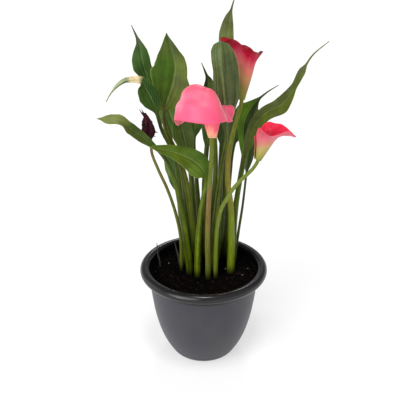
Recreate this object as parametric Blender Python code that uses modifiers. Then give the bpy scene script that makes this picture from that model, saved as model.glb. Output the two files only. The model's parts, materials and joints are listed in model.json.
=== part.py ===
"""Potted calla lily: long-stalked leaves and four blooms in a 17 cm nursery pot.

Lengths are in millimetres until a mesh is made, and +Z is up. The origin is the middle of
the pot's flat base, and the front of the plant is -Y.
"""
import math

import bmesh
import bpy
import numpy as np

MM = 0.001
GAP = 0.3                 # clearance between pieces that touch
SHARP_ANGLE = math.radians(45)      # steeper edges than this are not shaded smooth

# Pot
RIM_RADIUS = 78.5         # middle of the rolled rim
RIM_ROLL = 6.5            # radius of the roll
RIM_HEIGHT = 125.0        # height of the roll's middle
RIM_START = 165           # angle at which the roll leaves the wall
RIM_LIP = -70             # angle at which the roll ends, under its outer side
RIM_STEPS = 8             # points round the roll
POT_WALL = 1.8
POT_INSIDE = [(0, POT_WALL), (38.5, POT_WALL), (42.3, 4), (46.2, 10), (53.0, 23), (59.2, 40),
              (64.5, 62), (68.4, 88), (71.2, 113)]      # radius and height, floor to rim
POT_SIDES = 32
DRAIN_HOLES = 6
DRAIN_RADIUS = 4.0
DRAIN_RING = 29.0         # distance of the drain holes from the middle
DRAIN_SIDES = 8
CUT_PAST = 2.0            # how far a cutter runs past what it cuts

# Soil
SOIL_TOP = 114.0
SOIL_EDGE = 70.0          # radius of the soil's top, just inside the pot's wall
SOIL_RINGS = 4            # rings of points on the top, 16 mm apart
SOIL_RING_STEP = 16.0
MOUNDS = [(0.11, 0.13, 0.6, 0.7), (0.12, -0.10, 2.1, 0.6), (0.21, -0.17, 0.0, 0.5)]
HOLE_FLOOR = 94.0         # depth at which the stem holes end
HOLE_SIDES = 10
STRAIGHT_TOP = 119.0      # the stems are upright up to here

# Leaves
BLADE_THICKNESS = 0.9
RIB_DEPTH = 1.5           # how far the midrib stands out of the underside, at its base
TIP_HALF_WIDTH = 0.5
NECK_HALF_WIDTH = 1.2     # least half width at the end of the neck
NECK_SHARE = 0.3          # share of the blade over which the stalk's own width runs out
FLAT_SHARE = 0.12         # share of the blade over which the round stalk turns flat
WAVE_LEAD = 1.9           # the right margin's waves lead the left's by this angle, in radians
BLADE_COLUMNS = 5         # points across the upper face
STALK_RINGS = 6
BLADE_RINGS = 15

# Blooms
SPATHE_THICKNESS = 0.9
OVERLAP = 10              # degrees that each margin of a spathe reaches past its back seam
MARGIN_STEP = 1.9         # how far the outer margin stands off the inner one
SCAPE_IN_SPATHE = 5.0     # how far the scape reaches up inside the spathe's foot
SPATHE_ROWS = 12
SPATHE_COLUMNS = 20
POINT_SPREAD = 26         # degrees each side of the tip that its point takes up
SEAM_START = 110          # degrees from the tip where the outer margin begins to stand off
SEAM_SPREAD = 55
BRIM_SPREAD = 0.08        # share of the reach that the step to a brim takes up
SPADIX_RADIUS = 2.6
SPADIX_SHARE = 0.42       # the spadix's length, as a share of the reach at one side
SPADIX_SIDE = 6           # place of that side in the list of reaches
SPADIX_RINGS = 7
SPADIX_SIDES = 8

# Outline of the leaves that stand further back: shares of the length, and of the half width
PLAIN_OUTLINE = [(0.09, 0.3), (0.2, 0.66), (0.4, 1.0), (0.58, 0.88), (0.75, 0.5), (0.87, 0.14),
                 (0.93, 0.05)]

# Each leaf: its root in the soil, the line of its stalk and blade up to the tip, the knot
# where the blade starts, counted from the root, and the halves of its outline, as the share
# of the blade's length and the widths left and right of the rib, or the full width of a leaf
# with the plain outline. Then the way the upper face looks from its start to its tip, the
# angle of its two halves at the rib and at the margin, the height, number and phase of its
# waves, and the radius of the stalk at the soil and at the blade.
LEAVES = {
    "leaf_low_left": dict(
        root=(-19, 2), start=4, waves=(1.4, 3, 0.4),
        line=[(-23, -4, 167), (-30, -9, 221), (-36, -15, 257), (-51, -27, 297), (-69, -36, 318),
              (-84, -43, 333), (-97, -48, 344), (-109, -50, 346), (-121, -50, 347)],
        halves=[(0.3, 6, 6), (0.55, 7, 7), (0.63, 5.5, 5.5), (0.74, 7.5, 8.5), (0.84, 7.5, 7),
                (0.9, 6, 4), (0.95, 2, 1.5)],
        face=[*[(0.1, -1.0, -0.1)] * 4, *[(0.0, -0.6, 0.8)] * 3], fold=(22, 8), stalk=(4.8, 2.4)),
    "leaf_front_droop": dict(
        root=(-8, -6), start=4, waves=(1.8, 2, 1.2),
        line=[(-7, -9, 169), (-4, -14, 214), (0, -19, 242), (3, -24, 262), (-1, -29, 277),
              (-12, -34, 290), (-25, -39, 299), (-37, -43, 305), (-49, -47, 309),
              (-63, -50, 314)],
        halves=[(0.06, 6, 5), (0.16, 14, 11), (0.32, 17, 13.5), (0.5, 15.5, 11.5),
                (0.68, 9.5, 8.5), (0.82, 6, 6), (0.92, 3.5, 3.5)],
        face=[(0.2, -0.9, 0.3), (0.0, -0.8, 0.6), (-0.1, -0.7, 0.7)], fold=(18, 6),
        stalk=(4.4, 2.3)),
    "leaf_pointed": dict(
        root=(-7, 14), start=6, waves=(1.8, 2, 0.0),
        line=[(-13, 12, 167), (-19, 10, 219), (-25, 9, 256), (-36, 9, 289), (-46, 10, 312),
              (-49, 10, 335), (-44, 10, 353), (-37, 12, 373), (-34, 17, 390), (-38, 24, 407),
              (-45, 33, 428)],
        halves=[(0.09, 7, 10), (0.19, 16, 19), (0.29, 23.5, 24), (0.4, 29, 22),
                (0.48, 31.5, 15.5), (0.67, 26, 12.5), (0.76, 19.5, 8.5), (0.93, 6, 2)],
        face=[(0.1, -1.0, 0.2), (0.1, -0.9, 0.4), (0.1, -0.9, 0.5)], fold=(22, 14),
        stalk=(4.8, 2.7)),
    "leaf_up_left": dict(
        root=(-25, 27), start=7, waves=(1.6, 2, 2.0),
        line=[(-28, 28, 176), (-31, 27, 219), (-35, 26, 258), (-39, 26, 284), (-46, 26, 312),
              (-52, 26, 333), (-57, 26, 345), (-65, 26, 365), (-71, 26, 382), (-75, 26, 400),
              (-78, 29, 417), (-87, 39, 436)],
        halves=[(0.11, 5.5, 5.5), (0.31, 7, 8), (0.4, 10.5, 9.5), (0.48, 15, 9.5),
                (0.58, 13.5, 10), (0.67, 9, 8.5), (0.76, 3.5, 4), (0.83, 1.5, 1.5)],
        face=[(0.2, -0.9, 0.3), (0.2, -0.9, 0.4), (0.0, -0.9, 0.4)], fold=(20, 12),
        stalk=(4.0, 2.2)),
    "leaf_folded_tip": dict(
        root=(-20, 15), start=6, waves=(1.2, 2, 0.8),
        line=[(-24, 12, 184), (-31, 7, 232), (-34, 2, 267), (-41, -2, 296), (-51, -5, 319),
              (-55, -7, 336), (-60, -9, 354), (-67, -11, 370), (-73, -15, 382), (-79, -17, 383),
              (-91, -21, 382), (-98, -23, 378), (-106, -26, 371), (-113, -28, 360)],
        halves=[(0.09, 4.5, 5), (0.18, 11.5, 9), (0.28, 14.5, 11), (0.36, 12.5, 10),
                (0.5, 5.5, 4.5), (0.62, 4, 4.5), (0.68, 2, 4.5), (0.76, 1, 4), (0.87, 1, 1)],
        face=[(0.2, -1.0, 0.2), (0.0, -0.8, 0.6), (-0.3, -0.4, 0.9)], fold=(16, 12),
        stalk=(4.0, 2.3)),
    "leaf_tall_back": dict(
        root=(20, 38), start=4, waves=(1.2, 2, 0.6),
        line=[(24, 42, 159), (28, 48, 225), (33, 55, 290), (35, 57, 316), (34, 59, 339),
              (31, 68, 388), (30, 71, 421), (32, 70, 440), (35, 66, 456), (38, 62, 467)],
        halves=[(0.15, 7.5, 7.5), (0.32, 11.5, 9.5), (0.49, 12.5, 10), (0.7, 11.5, 8),
                (0.77, 9, 6.5), (0.83, 6, 4), (0.88, 1.5, 1.5)],
        face=[(0.0, -1.0, 0.1), (0.0, -1.0, 0.1), (-0.2, -0.9, 0.3)], fold=(26, 18),
        stalk=(4.4, 2.7)),
    "leaf_hood": dict(
        root=(14, 10), start=4, waves=(1.6, 2, 0.0),
        line=[(14, 6, 164), (19, 2, 238), (24, 0, 279), (28, -1, 305), (28, -2, 325),
              (26, -4, 341), (22, -6, 375), (19, -7, 406), (19, -4, 415), (19, 8, 422),
              (19, 15, 420), (18, 21, 415)],
        halves=[(0.14, 6.5, 6.5), (0.26, 12, 10), (0.37, 19.5, 14), (0.62, 21.5, 10),
                (0.72, 19.5, 11.5), (0.79, 16, 12), (0.89, 9, 8), (0.95, 4, 4)],
        face=[(0.0, 1.0, 0.0), (0.0, 1.0, 0.0), (0.0, 0.6, -0.8)], fold=(14, 24),
        stalk=(4.4, 2.7)),
    "leaf_slim_middle": dict(
        root=(7, 30), start=4, waves=(1.0, 2, 0.0),
        line=[(10, 30, 151), (14.5, 30, 226), (15.5, 29, 268), (13, 28, 308), (8, 27, 341),
              (5, 26, 358), (4, 24, 375), (0, 22, 387), (-3, 20, 395)],
        halves=[(0.32, 8, 8), (0.53, 9.5, 9.5), (0.65, 8, 9), (0.74, 5, 6), (0.8, 2, 2)],
        face=[(0.1, -1.0, 0.1), (0.2, -0.9, 0.4), (0.4, -0.7, 0.7)], fold=(24, 20),
        stalk=(4.4, 2.8)),
    "leaf_far_right": dict(
        root=(41, 25), start=4, waves=(2.0, 3, 0.5),
        line=[(41, 22, 167), (44, 20, 215), (48, 18, 247), (52, 16, 273), (55, 14, 292),
              (65, 10, 325), (74, 7, 336), (94, 1, 350), (99, -1, 357), (108, -3, 373),
              (115, -5, 391), (124, -8, 409), (141, -12, 426)],
        halves=[(0.11, 5, 6.5), (0.29, 7.5, 11), (0.44, 8, 11), (0.5, 10, 13), (0.56, 9, 10),
                (0.65, 5, 3.5), (0.76, 5, 5.5), (0.8, 1.5, 1.5)],
        face=[(-0.2, -1.0, 0.2), (-0.3, -0.8, 0.6), (-0.8, -0.4, 0.4)], fold=(22, 8),
        stalk=(4.2, 2.5)),
    "leaf_right": dict(
        root=(35, 35), start=4, waves=(1.6, 2, 1.0),
        line=[(38, 37, 153), (44, 38, 209), (48, 38, 243), (51, 38, 265), (52, 38, 280),
              (51, 39, 295), (55, 42, 323), (66, 44, 340), (79, 45, 352), (94, 45, 362)],
        halves=[(0.13, 4.5, 5), (0.26, 6.5, 8), (0.4, 9, 8.5), (0.52, 12, 11),
                (0.61, 10.5, 8.5), (0.69, 5, 5), (0.76, 1.5, 1.5)],
        face=[(-0.2, -1.0, 0.2), (-0.3, -0.8, 0.6), (-0.3, -0.7, 0.7)], fold=(22, 12),
        stalk=(4.0, 2.3)),
    "leaf_right_inner": dict(
        root=(45, 38), start=3, width=20, waves=(1.5, 2, 0.0),
        line=[(48, 38, 156), (53, 41, 196), (57, 45, 240), (60, 50, 270), (64, 56, 298),
              (69, 65, 320), (73, 77, 332)],
        face=[(-0.2, -1.0, 0.2), (-0.3, -0.7, 0.7), (0.0, -0.3, 1.0)], fold=(24, 14),
        stalk=(2.0, 1.5)),
    "leaf_inner_left": dict(
        root=(-12, 26), start=3, width=30, waves=(1.5, 2, 0.7),
        line=[(-13, 31, 174), (-15, 36, 222), (-19, 42, 263), (-25, 48, 291), (-31, 56, 316),
              (-37, 64, 335)],
        face=[(0.0, -1.0, 0.2), (-0.2, -0.8, 0.6), (-0.2, -0.6, 0.8)], fold=(26, 14),
        stalk=(5.0, 3.4)),
    "leaf_inner_middle": dict(
        root=(0, 38), start=4, width=19, waves=(1.5, 2, 0.2),
        line=[(1, 40, 175), (1, 42, 221), (2, 44, 251), (4, 48, 277), (6, 56, 300), (8, 66, 318),
              (7, 78, 330)],
        face=[(0.0, -1.0, 0.2), (0.1, -0.8, 0.6), (0.1, -0.5, 0.9)], fold=(26, 14),
        stalk=(4.8, 3.2)),
    "leaf_inner_right": dict(
        root=(17, 21), start=4, width=20, waves=(1.2, 2, 1.1),
        line=[(20, 24, 190), (21.5, 27, 226), (22, 31, 258), (23, 37, 284), (24, 44, 305),
              (24, 51, 322), (22, 57, 334)],
        face=[(0.0, -1.0, 0.2), (0.1, -0.8, 0.6), (0.2, -0.5, 0.9)], fold=(26, 14),
        stalk=(4.4, 3.0)),
    "leaf_back_left": dict(
        root=(-19, 42), start=3, width=34, waves=(2.5, 3, 0.3),
        line=[(-23, 48, 175), (-29, 57, 235), (-33, 67, 275), (-41, 81, 303), (-49, 97, 318),
              (-56, 113, 316), (-62, 126, 306)],
        face=[(-0.1, -0.8, 0.6), (-0.2, -0.3, 1.0), (-0.2, 0.4, 0.9)], fold=(24, 10),
        stalk=(4.0, 2.5)),
    "leaf_back_middle": dict(
        root=(-3, 48), start=3, width=36, waves=(2.2, 3, 1.6),
        line=[(-6, 53, 175), (-10, 60, 235), (-13, 70, 280), (-10, 85, 313), (-5, 104, 330),
              (0, 123, 328), (5, 140, 316)],
        face=[(0.0, -0.8, 0.6), (0.0, -0.3, 1.0), (0.0, 0.4, 0.9)], fold=(22, 8),
        stalk=(4.2, 2.5)),
    "leaf_back_right": dict(
        root=(31, 48), start=3, width=34, waves=(2.4, 3, 0.9),
        line=[(33, 54, 180), (36, 63, 232), (41, 73, 272), (52, 87, 300), (62, 103, 313),
              (73, 118, 310), (82, 130, 299)],
        face=[(0.1, -0.8, 0.6), (0.3, -0.3, 1.0), (0.3, 0.4, 0.9)], fold=(24, 10),
        stalk=(4.2, 2.4)),
    "leaf_back_low": dict(
        root=(-27, 37), start=2, width=30, waves=(2.2, 2, 0.0),
        line=[(-31, 46, 165), (-35, 57, 205), (-38, 70, 236), (-43, 86, 255), (-49, 103, 258),
              (-55, 118, 250)],
        face=[(-0.2, -0.7, 0.7), (-0.3, -0.2, 1.0), (-0.3, 0.4, 0.9)], fold=(24, 10),
        stalk=(3.8, 2.3)),
}

# Each bloom: its root, the line of its scape up to the spathe's foot, and the scape's radius
# at the soil and at the top. Axis is the way the spathe's tube points, and tip the side that
# its pointed end leans to. Eight values of reach and roll, counted round from the tip, are
# the length from foot to margin and the angle off the axis at the margin, with the seam at
# the fifth. Turn is the share of the reach over which the sheet rolls, late shifts its start
# at the eight places, and point is the extra share of the reach at the pointed tip. A brim is
# a step outwards near the margin: its place, its height, and its share at the eight places.
BLOOMS = {
    "front": dict(
        root=(6, -10), radii=(3.8, 2.6), axis=(-0.04, 0.07, 1.0), tip=(-1.0, 0.03, 0.0),
        line=[(5, -16, 175), (6, -26, 230), (8, -36, 282), (9, -41.8, 310), (8.6, -43, 322.7)],
        widen=14, turn=(0.47, 0.81), reach=(80, 113, 115, 62, 43, 54, 57, 63),
        roll=(178, 167, 157, 148, 126, 100, 122, 157), point=0.11,
        late=(-0.07, -0.02, -0.06, 0.03, 0.07, -0.01, -0.04, -0.05),
        brim=dict(place=0.82, step=4.4, shares=(1, 1, 0.5, 0.2, 0, 0, 0, 0.5))),
    "upper": dict(
        root=(37, 6), radii=(5.4, 2.4), axis=(0.08, 0.1, 1.0), tip=(0.78, -0.63, 0.0),
        line=[(37, 7, 165), (35, 10, 212), (31, 16, 246), (33, 21, 286), (39, 26, 314),
              (44.5, 28.3, 334), (47.1, 29, 347.7)],
        widen=11, turn=(0.62, 0.96), reach=(61, 63, 61, 72, 86, 78, 82, 67),
        roll=(34, 30, 48, 60, 80, 75, 63, 55), point=0.06),
    "right": dict(
        root=(16, -7), radii=(3.2, 2.1), axis=(0.27, -0.1, 1.0), tip=(0.99, -0.14, 0.0),
        line=[(16.1, -9, 165), (18.2, -12, 198.5), (22.9, -15, 221), (27.7, -17, 231.6),
              (34.8, -20, 246), (44, -25, 260.7), (52, -29.4, 271), (59, -33.6, 281),
              (64.2, -36, 292.5)],
        widen=13.7, turn=(0.45, 1.0), reach=(56, 50, 49, 28, 28, 45, 52, 61),
        roll=(96, 60, 69, 49, 26, 23, 67, 58), point=0.03),
}

# The wilted bloom: a dry, twisted bract that ends in spikes
HEAD_RINGS = 9
HEAD_PLEAT = 0.3          # depth of the pleats, as a share of the radius
HEAD_TWIST = 1.3          # radians that the pleats turn from base to top
SPIKE_SIDES = 6
SPIKE_SAG = 6.0           # how far the spikes bow down
WILTED = dict(
    root=(-30, 12), radii=(2.6, 1.7),
    line=[(-31, 8, 171), (-37, 3, 206), (-46, -3, 240), (-57, -11, 272), (-63.2, -17, 295),
          (-63.5, -20, 312)],
    top=(-68.5, -26, 346.5), body_radius=6.5, folds=5,
    spikes=[((-65.5, -24, 337), (-76, -29, 354), 2.6), ((-67, -25, 341), (-73, -28, 354), 2.2),
            ((-62.5, -23, 329), (-53.5, -26, 322), 2.4),
            ((-62, -22, 322), (-56.5, -26, 317.5), 2.0),
            ((-64.5, -24, 323), (-71, -28, 315), 2.2)])

# Dry stubs that stand in the soil: root, then the line to the tip
STUBS = {
    "dry_stub": dict(root=(-33, 25), line=[(-35, 23, 131), (-39, 15, 155)], radii=(1.9, 0.5)),
    "dry_twig": dict(root=(-60, 22), line=[(-62, 20, 132), (-63, 14, 154)], radii=(1.5, 0.5)),
}


def clear_scene():
    for obj in list(bpy.data.objects):
        bpy.data.objects.remove(obj, do_unlink=True)


def new_collection(name):
    collection = bpy.data.collections.new(name)
    bpy.context.scene.collection.children.link(collection)
    return collection


def principled(name, colour, roughness):
    """A plain material whose colour is given as a hex string."""
    channels = [int(colour[i:i + 2], 16) / 255 for i in (0, 2, 4)]
    linear = [c / 12.92 if c <= 0.04045 else ((c + 0.055) / 1.055) ** 2.4 for c in channels]
    material = bpy.data.materials.new(name)
    material.use_nodes = True
    shader = material.node_tree.nodes["Principled BSDF"]
    shader.inputs["Base Color"].default_value = (*linear, 1.0)
    shader.inputs["Roughness"].default_value = roughness
    shader.inputs["Metallic"].default_value = 0.0
    material.diffuse_color = (*linear, 1.0)
    return material


def mesh_object(name, points, faces, material, collection):
    mesh = bpy.data.meshes.new(name)
    mesh.from_pydata([tuple(p * MM) for p in np.asarray(points, float)], [], faces)
    bm = bmesh.new()
    bm.from_mesh(mesh)
    bmesh.ops.recalc_face_normals(bm, faces=bm.faces)
    bm.to_mesh(mesh)
    bm.free()
    mesh.shade_smooth()
    mesh.set_sharp_from_angle(angle=SHARP_ANGLE)
    mesh.materials.append(material)
    obj = bpy.data.objects.new(name, mesh)
    collection.objects.link(obj)
    return obj


def evaluated_mesh(obj):
    graph = bpy.context.evaluated_depsgraph_get()
    return bpy.data.meshes.new_from_object(obj.evaluated_get(graph))


def boolean(obj, operation, operand):
    """Joins or cuts obj with all of a collection, and applies the result."""
    modifier = obj.modifiers.new(operation.title(), "BOOLEAN")
    modifier.operation = operation
    modifier.operand_type = "COLLECTION"
    modifier.collection = operand
    modifier.solver = "EXACT"
    mesh = evaluated_mesh(obj)
    obj.modifiers.remove(modifier)
    old, obj.data = obj.data, mesh
    bpy.data.meshes.remove(old)


def unit(vectors):
    vectors = np.asarray(vectors, float)
    return vectors / np.linalg.norm(vectors, axis=-1, keepdims=True)


def smooth_step(values):
    t = np.clip(values, 0, 1)
    return t * t * (3 - 2 * t)


def smooth_line(knots, first_direction, last_direction=None, steps=30):
    """A Hermite curve through the knots, and each knot's distance along it."""
    knots = np.asarray(knots, float)
    chords = np.linalg.norm(np.diff(knots, axis=0), axis=1)
    slopes = np.diff(knots, axis=0) / chords[:, None]
    weights = chords[1:, None] / (chords[:-1] + chords[1:])[:, None]
    inner = slopes[:-1] * weights + slopes[1:] * (1 - weights)
    last = slopes[-1] if last_direction is None else unit(last_direction)
    tangents = np.vstack([unit(first_direction), inner, last])
    t = np.linspace(0, 1, steps + 1)[:, None]
    pieces = [knots[:1]]
    for i, chord in enumerate(chords):
        start, end = knots[i], knots[i + 1]
        curve = ((2 * t**3 - 3 * t**2 + 1) * start + (t**3 - 2 * t**2 + t) * chord * tangents[i]
                 + (3 * t**2 - 2 * t**3) * end + (t**3 - t**2) * chord * tangents[i + 1])
        pieces.append(curve[1:])
    points = np.vstack(pieces)
    lengths = np.concatenate([[0], np.cumsum(np.linalg.norm(np.diff(points, axis=0), axis=1))])
    return points, lengths, lengths[::steps]


def sample(points, lengths, places):
    """Points of a line at the given distances along it."""
    return np.stack([np.interp(places, lengths, points[:, i]) for i in range(3)], axis=1)


def grown_line(root, knots, last_direction=None):
    """The line of a stem: upright in its hole in the soil, then through the knots."""
    start = (*root, STRAIGHT_TOP)
    return smooth_line([start, *knots], (0, 0, 1), last_direction)


def sheet_heights(columns, fold):
    """How far across and up each column of a half blade lies, for a half width of 1."""
    steps = (columns - 1) // 2
    middle = (np.arange(steps) + 0.5) / steps
    angles = np.radians(fold[0] + (fold[1] - fold[0]) * middle)
    across = np.concatenate([[0], np.cumsum(np.cos(angles)) / steps])
    up = np.concatenate([[0], np.cumsum(np.sin(angles)) / steps])
    return across, up


def leaf_rings(shape):
    """Rings of points from the stalk's foot to the blade's tip.

    Each ring runs over the upper face from the left margin to the right, then back under it.
    In the stalk the ring is an ellipse, and it turns into the thin sheet at the blade's start.
    """
    points, lengths, knots = grown_line(shape["root"], shape["line"])
    blade_start, end = knots[shape["start"]], lengths[-1]
    along_stalk = np.linspace(0, blade_start, STALK_RINGS, endpoint=False)
    along_blade = np.linspace(0, 1, BLADE_RINGS) ** 0.9
    places = np.concatenate([along_stalk, blade_start + along_blade * (end - blade_start)])
    centre = sample(points, lengths, places)
    ahead = unit(sample(points, lengths, places + 0.5) - sample(points, lengths, places - 0.5))
    ahead[0] = (0, 0, 1)
    s = np.clip((places - blade_start) / (end - blade_start), 0, 1)

    # The way the upper face looks, square to the line
    looks = np.array(shape["face"], float)
    turns = np.linspace(0, 1, len(looks))
    face = np.stack([np.interp(s, turns, looks[:, i]) for i in range(3)], axis=1)
    normal = unit(face - np.sum(face * ahead, axis=1, keepdims=True) * ahead)
    side = np.cross(ahead, normal)

    # Half widths: those of the outline, and the stalk's own width, which fades out
    plain = [(place, *[wide * shape.get("width", 0) / 2] * 2) for place, wide in PLAIN_OUTLINE]
    at, *wide = np.array([(0, 0, 0), *shape.get("halves", plain), (1, 0, 0)], float).T
    foot_radius, top_radius = shape["stalk"]
    stalk_radius = foot_radius + (top_radius - foot_radius) * smooth_step(places / blade_start)
    rim = np.interp(s, (0, NECK_SHARE, 1), (top_radius, NECK_HALF_WIDTH, TIP_HALF_WIDTH))
    rim = np.where(s > 0, rim, stalk_radius)
    halves = [np.sqrt(np.interp(s, at, values) ** 2 + rim**2) for values in wide]
    reach = np.linspace(-1, 1, BLADE_COLUMNS)
    half_width = np.where(reach < 0, halves[0][:, None], halves[1][:, None])
    outline = np.clip(np.mean(halves, axis=0) - rim, 0, None)
    outline = outline / outline.max()

    # The middle surface of the sheet, with its fold and its waves
    across, up = sheet_heights(BLADE_COLUMNS, shape["fold"])
    column = np.concatenate([-across[:0:-1], across])
    height = np.concatenate([up[:0:-1], up])
    crest, number, phase = shape["waves"]
    swing = np.sin(2 * math.pi * number * s[:, None] + phase + WAVE_LEAD * (reach > 0))
    wave = crest * outline[:, None] * reach**2 * swing
    sheet = (centre[:, None] + side[:, None] * (half_width * column)[..., None]
             + normal[:, None] * (half_width * height + wave)[..., None])
    bend = np.cross(np.gradient(sheet, axis=0), np.gradient(sheet, axis=1))
    bend *= np.sign(np.sum(bend * normal[:, None], axis=(1, 2)))[:, None, None]
    outward = unit(bend)
    upper = sheet + outward * BLADE_THICKNESS / 2
    lower = sheet - outward * BLADE_THICKNESS / 2
    rib = RIB_DEPTH * np.clip(1 - s, 0, 1)
    lower[:, BLADE_COLUMNS // 2] -= normal * rib[:, None]
    flat_ring = np.concatenate([upper, lower[:, ::-1]], axis=1)

    # The round stalk, whose foot is straight
    count = 2 * BLADE_COLUMNS
    angles = math.pi - math.pi / count - 2 * math.pi * np.arange(count) / count
    round_ring = centre[:, None] + stalk_radius[:, None, None] * (
        side[:, None] * np.cos(angles)[:, None] + normal[:, None] * np.sin(angles)[:, None])
    share = smooth_step(s / FLAT_SHARE)[:, None, None]
    rings = round_ring * (1 - share) + flat_ring * share
    foot = rings[:1] + np.array([0, 0, HOLE_FLOOR + GAP - STRAIGHT_TOP])
    return np.concatenate([foot, rings])


def ring_faces(rings, upper_columns=None):
    """Triangles between rings and over both ends. The sheet's two faces are split alike."""
    count = rings.shape[1]
    faces = []
    for row in range(len(rings) - 1):
        for k in range(count):
            nxt = (k + 1) % count
            a, b = row * count + k, row * count + nxt
            c, d = b + count, a + count
            under = upper_columns is not None and k >= upper_columns - 0.5
            faces += [(a, b, d), (b, c, d)] if under else [(a, b, c), (a, c, d)]
    for row, middle in ((0, len(rings) * count), (len(rings) - 1, len(rings) * count + 1)):
        faces += [(row * count + k, row * count + (k + 1) % count, middle) for k in range(count)]
    ends = np.stack([rings[0].mean(axis=0), rings[-1].mean(axis=0)])
    return np.concatenate([rings.reshape(-1, 3), ends]), faces


def leaf(name, shape, material, collection):
    rings = leaf_rings(shape)
    points, faces = ring_faces(rings, upper_columns=BLADE_COLUMNS)
    return mesh_object(name, points, faces, material, collection)


def tube(name, root, knots, radii, material, collection, last_direction=None):
    """A stem: a curve with a round bevel and filled caps, tapered along its length."""
    points, lengths, stops = grown_line(root, knots, last_direction)
    between = np.linspace(0, stops[-2], 2 * len(knots) + 2)
    places = np.append(between, stops[-1])
    route = np.vstack([(*root, HOLE_FLOOR + GAP), sample(points, lengths, places)])
    taper = np.concatenate([[0], places / stops[-1]])
    curve = bpy.data.curves.new(name, "CURVE")
    curve.dimensions = "3D"
    curve.bevel_depth = radii[0] * MM
    curve.bevel_resolution = 2 if len(knots) > 2 else 1
    curve.use_fill_caps = True
    spline = curve.splines.new("POLY")
    spline.points.add(len(route) - 1)
    for point, place, share in zip(spline.points, route, taper):
        point.co = (*(place * MM), 1)
        point.radius = 1 + (radii[1] / radii[0] - 1) * share**0.8
    spline.use_smooth = True
    curve.materials.append(material)
    obj = bpy.data.objects.new(name, curve)
    collection.objects.link(obj)
    return obj


def frame_of(axis, lean):
    """Three unit vectors: along the axis, towards the lean, and square to both."""
    up = unit(axis)
    towards = unit(np.asarray(lean, float) - np.dot(lean, up) * up)
    return up, towards, np.cross(up, towards)


def blend_round(values, angles):
    """Values that lie evenly round the bloom, joined smoothly by the square of a cosine."""
    spacing = 2 * math.pi / len(values)
    total = 0
    for i, value in enumerate(values):
        away = np.abs((angles - i * spacing + math.pi) % (2 * math.pi) - math.pi) / spacing
        total = total + value * np.cos(np.clip(away, 0, 1) * math.pi / 2) ** 2
    return total


def spathe_grid(bloom, base):
    """The bract's middle surface: rows from base to margin, columns round it.

    The sheet is wound a little more than once round the scape, so that one margin lies
    outside the other. Each column starts beside the scape, widens as a funnel, and rolls
    away from the axis towards its margin.
    """
    up, towards, across = frame_of(bloom["axis"], bloom["tip"])
    angle = np.radians(np.linspace(-180 - OVERLAP, 180 + OVERLAP, SPATHE_COLUMNS))
    s = np.linspace(0, 1, SPATHE_ROWS)[:, None]
    reach = blend_round(bloom["reach"], angle)
    point = np.clip(1 - np.abs(angle) / math.radians(POINT_SPREAD), 0, 1) ** 2
    reach = reach + bloom["point"] * bloom["reach"][0] * point
    roll = np.radians(blend_round(bloom["roll"], angle))
    turn_start, turn_end = bloom["turn"]
    turn_start = turn_start + blend_round(bloom.get("late", [0] * 8), angle)
    widen = math.radians(bloom["widen"])
    slope = widen + (roll - widen) * smooth_step((s - turn_start) / (turn_end - turn_start))
    step = 1 / (SPATHE_ROWS - 1)
    mid = (slope[1:] + slope[:-1]) / 2
    zero = np.zeros((1, SPATHE_COLUMNS))
    out = np.concatenate([zero, np.cumsum(np.sin(mid) * step, axis=0)]) * reach
    rise = np.concatenate([zero, np.cumsum(np.cos(mid) * step, axis=0)]) * reach
    # The outer margin stands off the inner one
    stand_off = MARGIN_STEP * smooth_step((np.degrees(angle) - SEAM_START) / SEAM_SPREAD)
    if "brim" in bloom:
        brim = bloom["brim"]
        step_out = smooth_step((s - brim["place"]) / BRIM_SPREAD + 0.5)
        stand_off = stand_off - brim["step"] * blend_round(brim["shares"], angle) * step_out
    radius = bloom["radii"][1] + 2 * GAP + SPATHE_THICKNESS / 2
    distance = radius + out + stand_off * np.cos(slope)
    height = rise - stand_off * np.sin(slope)
    ring = towards * np.cos(angle)[:, None] + across * np.sin(angle)[:, None]
    return base + ring[None] * distance[..., None] + up * height[..., None]


def spathe(name, bloom, base, material, collection):
    grid = spathe_grid(bloom, base)
    rows, columns = grid.shape[:2]
    corner = np.arange(rows * columns).reshape(rows, columns)
    a, b = corner[:-1, :-1].ravel(), corner[:-1, 1:].ravel()
    c, d = corner[1:, 1:].ravel(), corner[1:, :-1].ravel()
    faces = np.concatenate([np.stack([a, b, c], 1), np.stack([a, c, d], 1)]).tolist()
    mesh = bpy.data.meshes.new(name)
    mesh.from_pydata([tuple(p) for p in grid.reshape(-1, 3) * MM], [], faces)
    mesh.shade_smooth()
    mesh.materials.append(material)
    obj = bpy.data.objects.new(name, mesh)
    collection.objects.link(obj)
    wall = obj.modifiers.new("Wall", "SOLIDIFY")
    wall.thickness = SPATHE_THICKNESS * MM
    wall.offset = 0
    wall.use_even_offset = False
    return obj


def spadix(name, bloom, base, material, collection):
    """A round-ended rod that stands on the scape's top, inside the spathe."""
    up, towards, across = frame_of(bloom["axis"], bloom["tip"])
    length = SPADIX_SHARE * bloom["reach"][SPADIX_SIDE]
    s = np.linspace(0, 1, SPADIX_RINGS)
    radius = SPADIX_RADIUS * np.sqrt(1 - s**3) * np.minimum(1, 0.75 + s)
    angles = 2 * math.pi * np.arange(SPADIX_SIDES) / SPADIX_SIDES
    ring = towards * np.cos(angles)[:, None] + across * np.sin(angles)[:, None]
    centre = base + up * (GAP + s[:, None] * length)
    rings = centre[:, None] + ring[None] * np.maximum(radius, 0.4)[:, None, None]
    points, faces = ring_faces(rings)
    return mesh_object(name, points, faces, material, collection)


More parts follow.
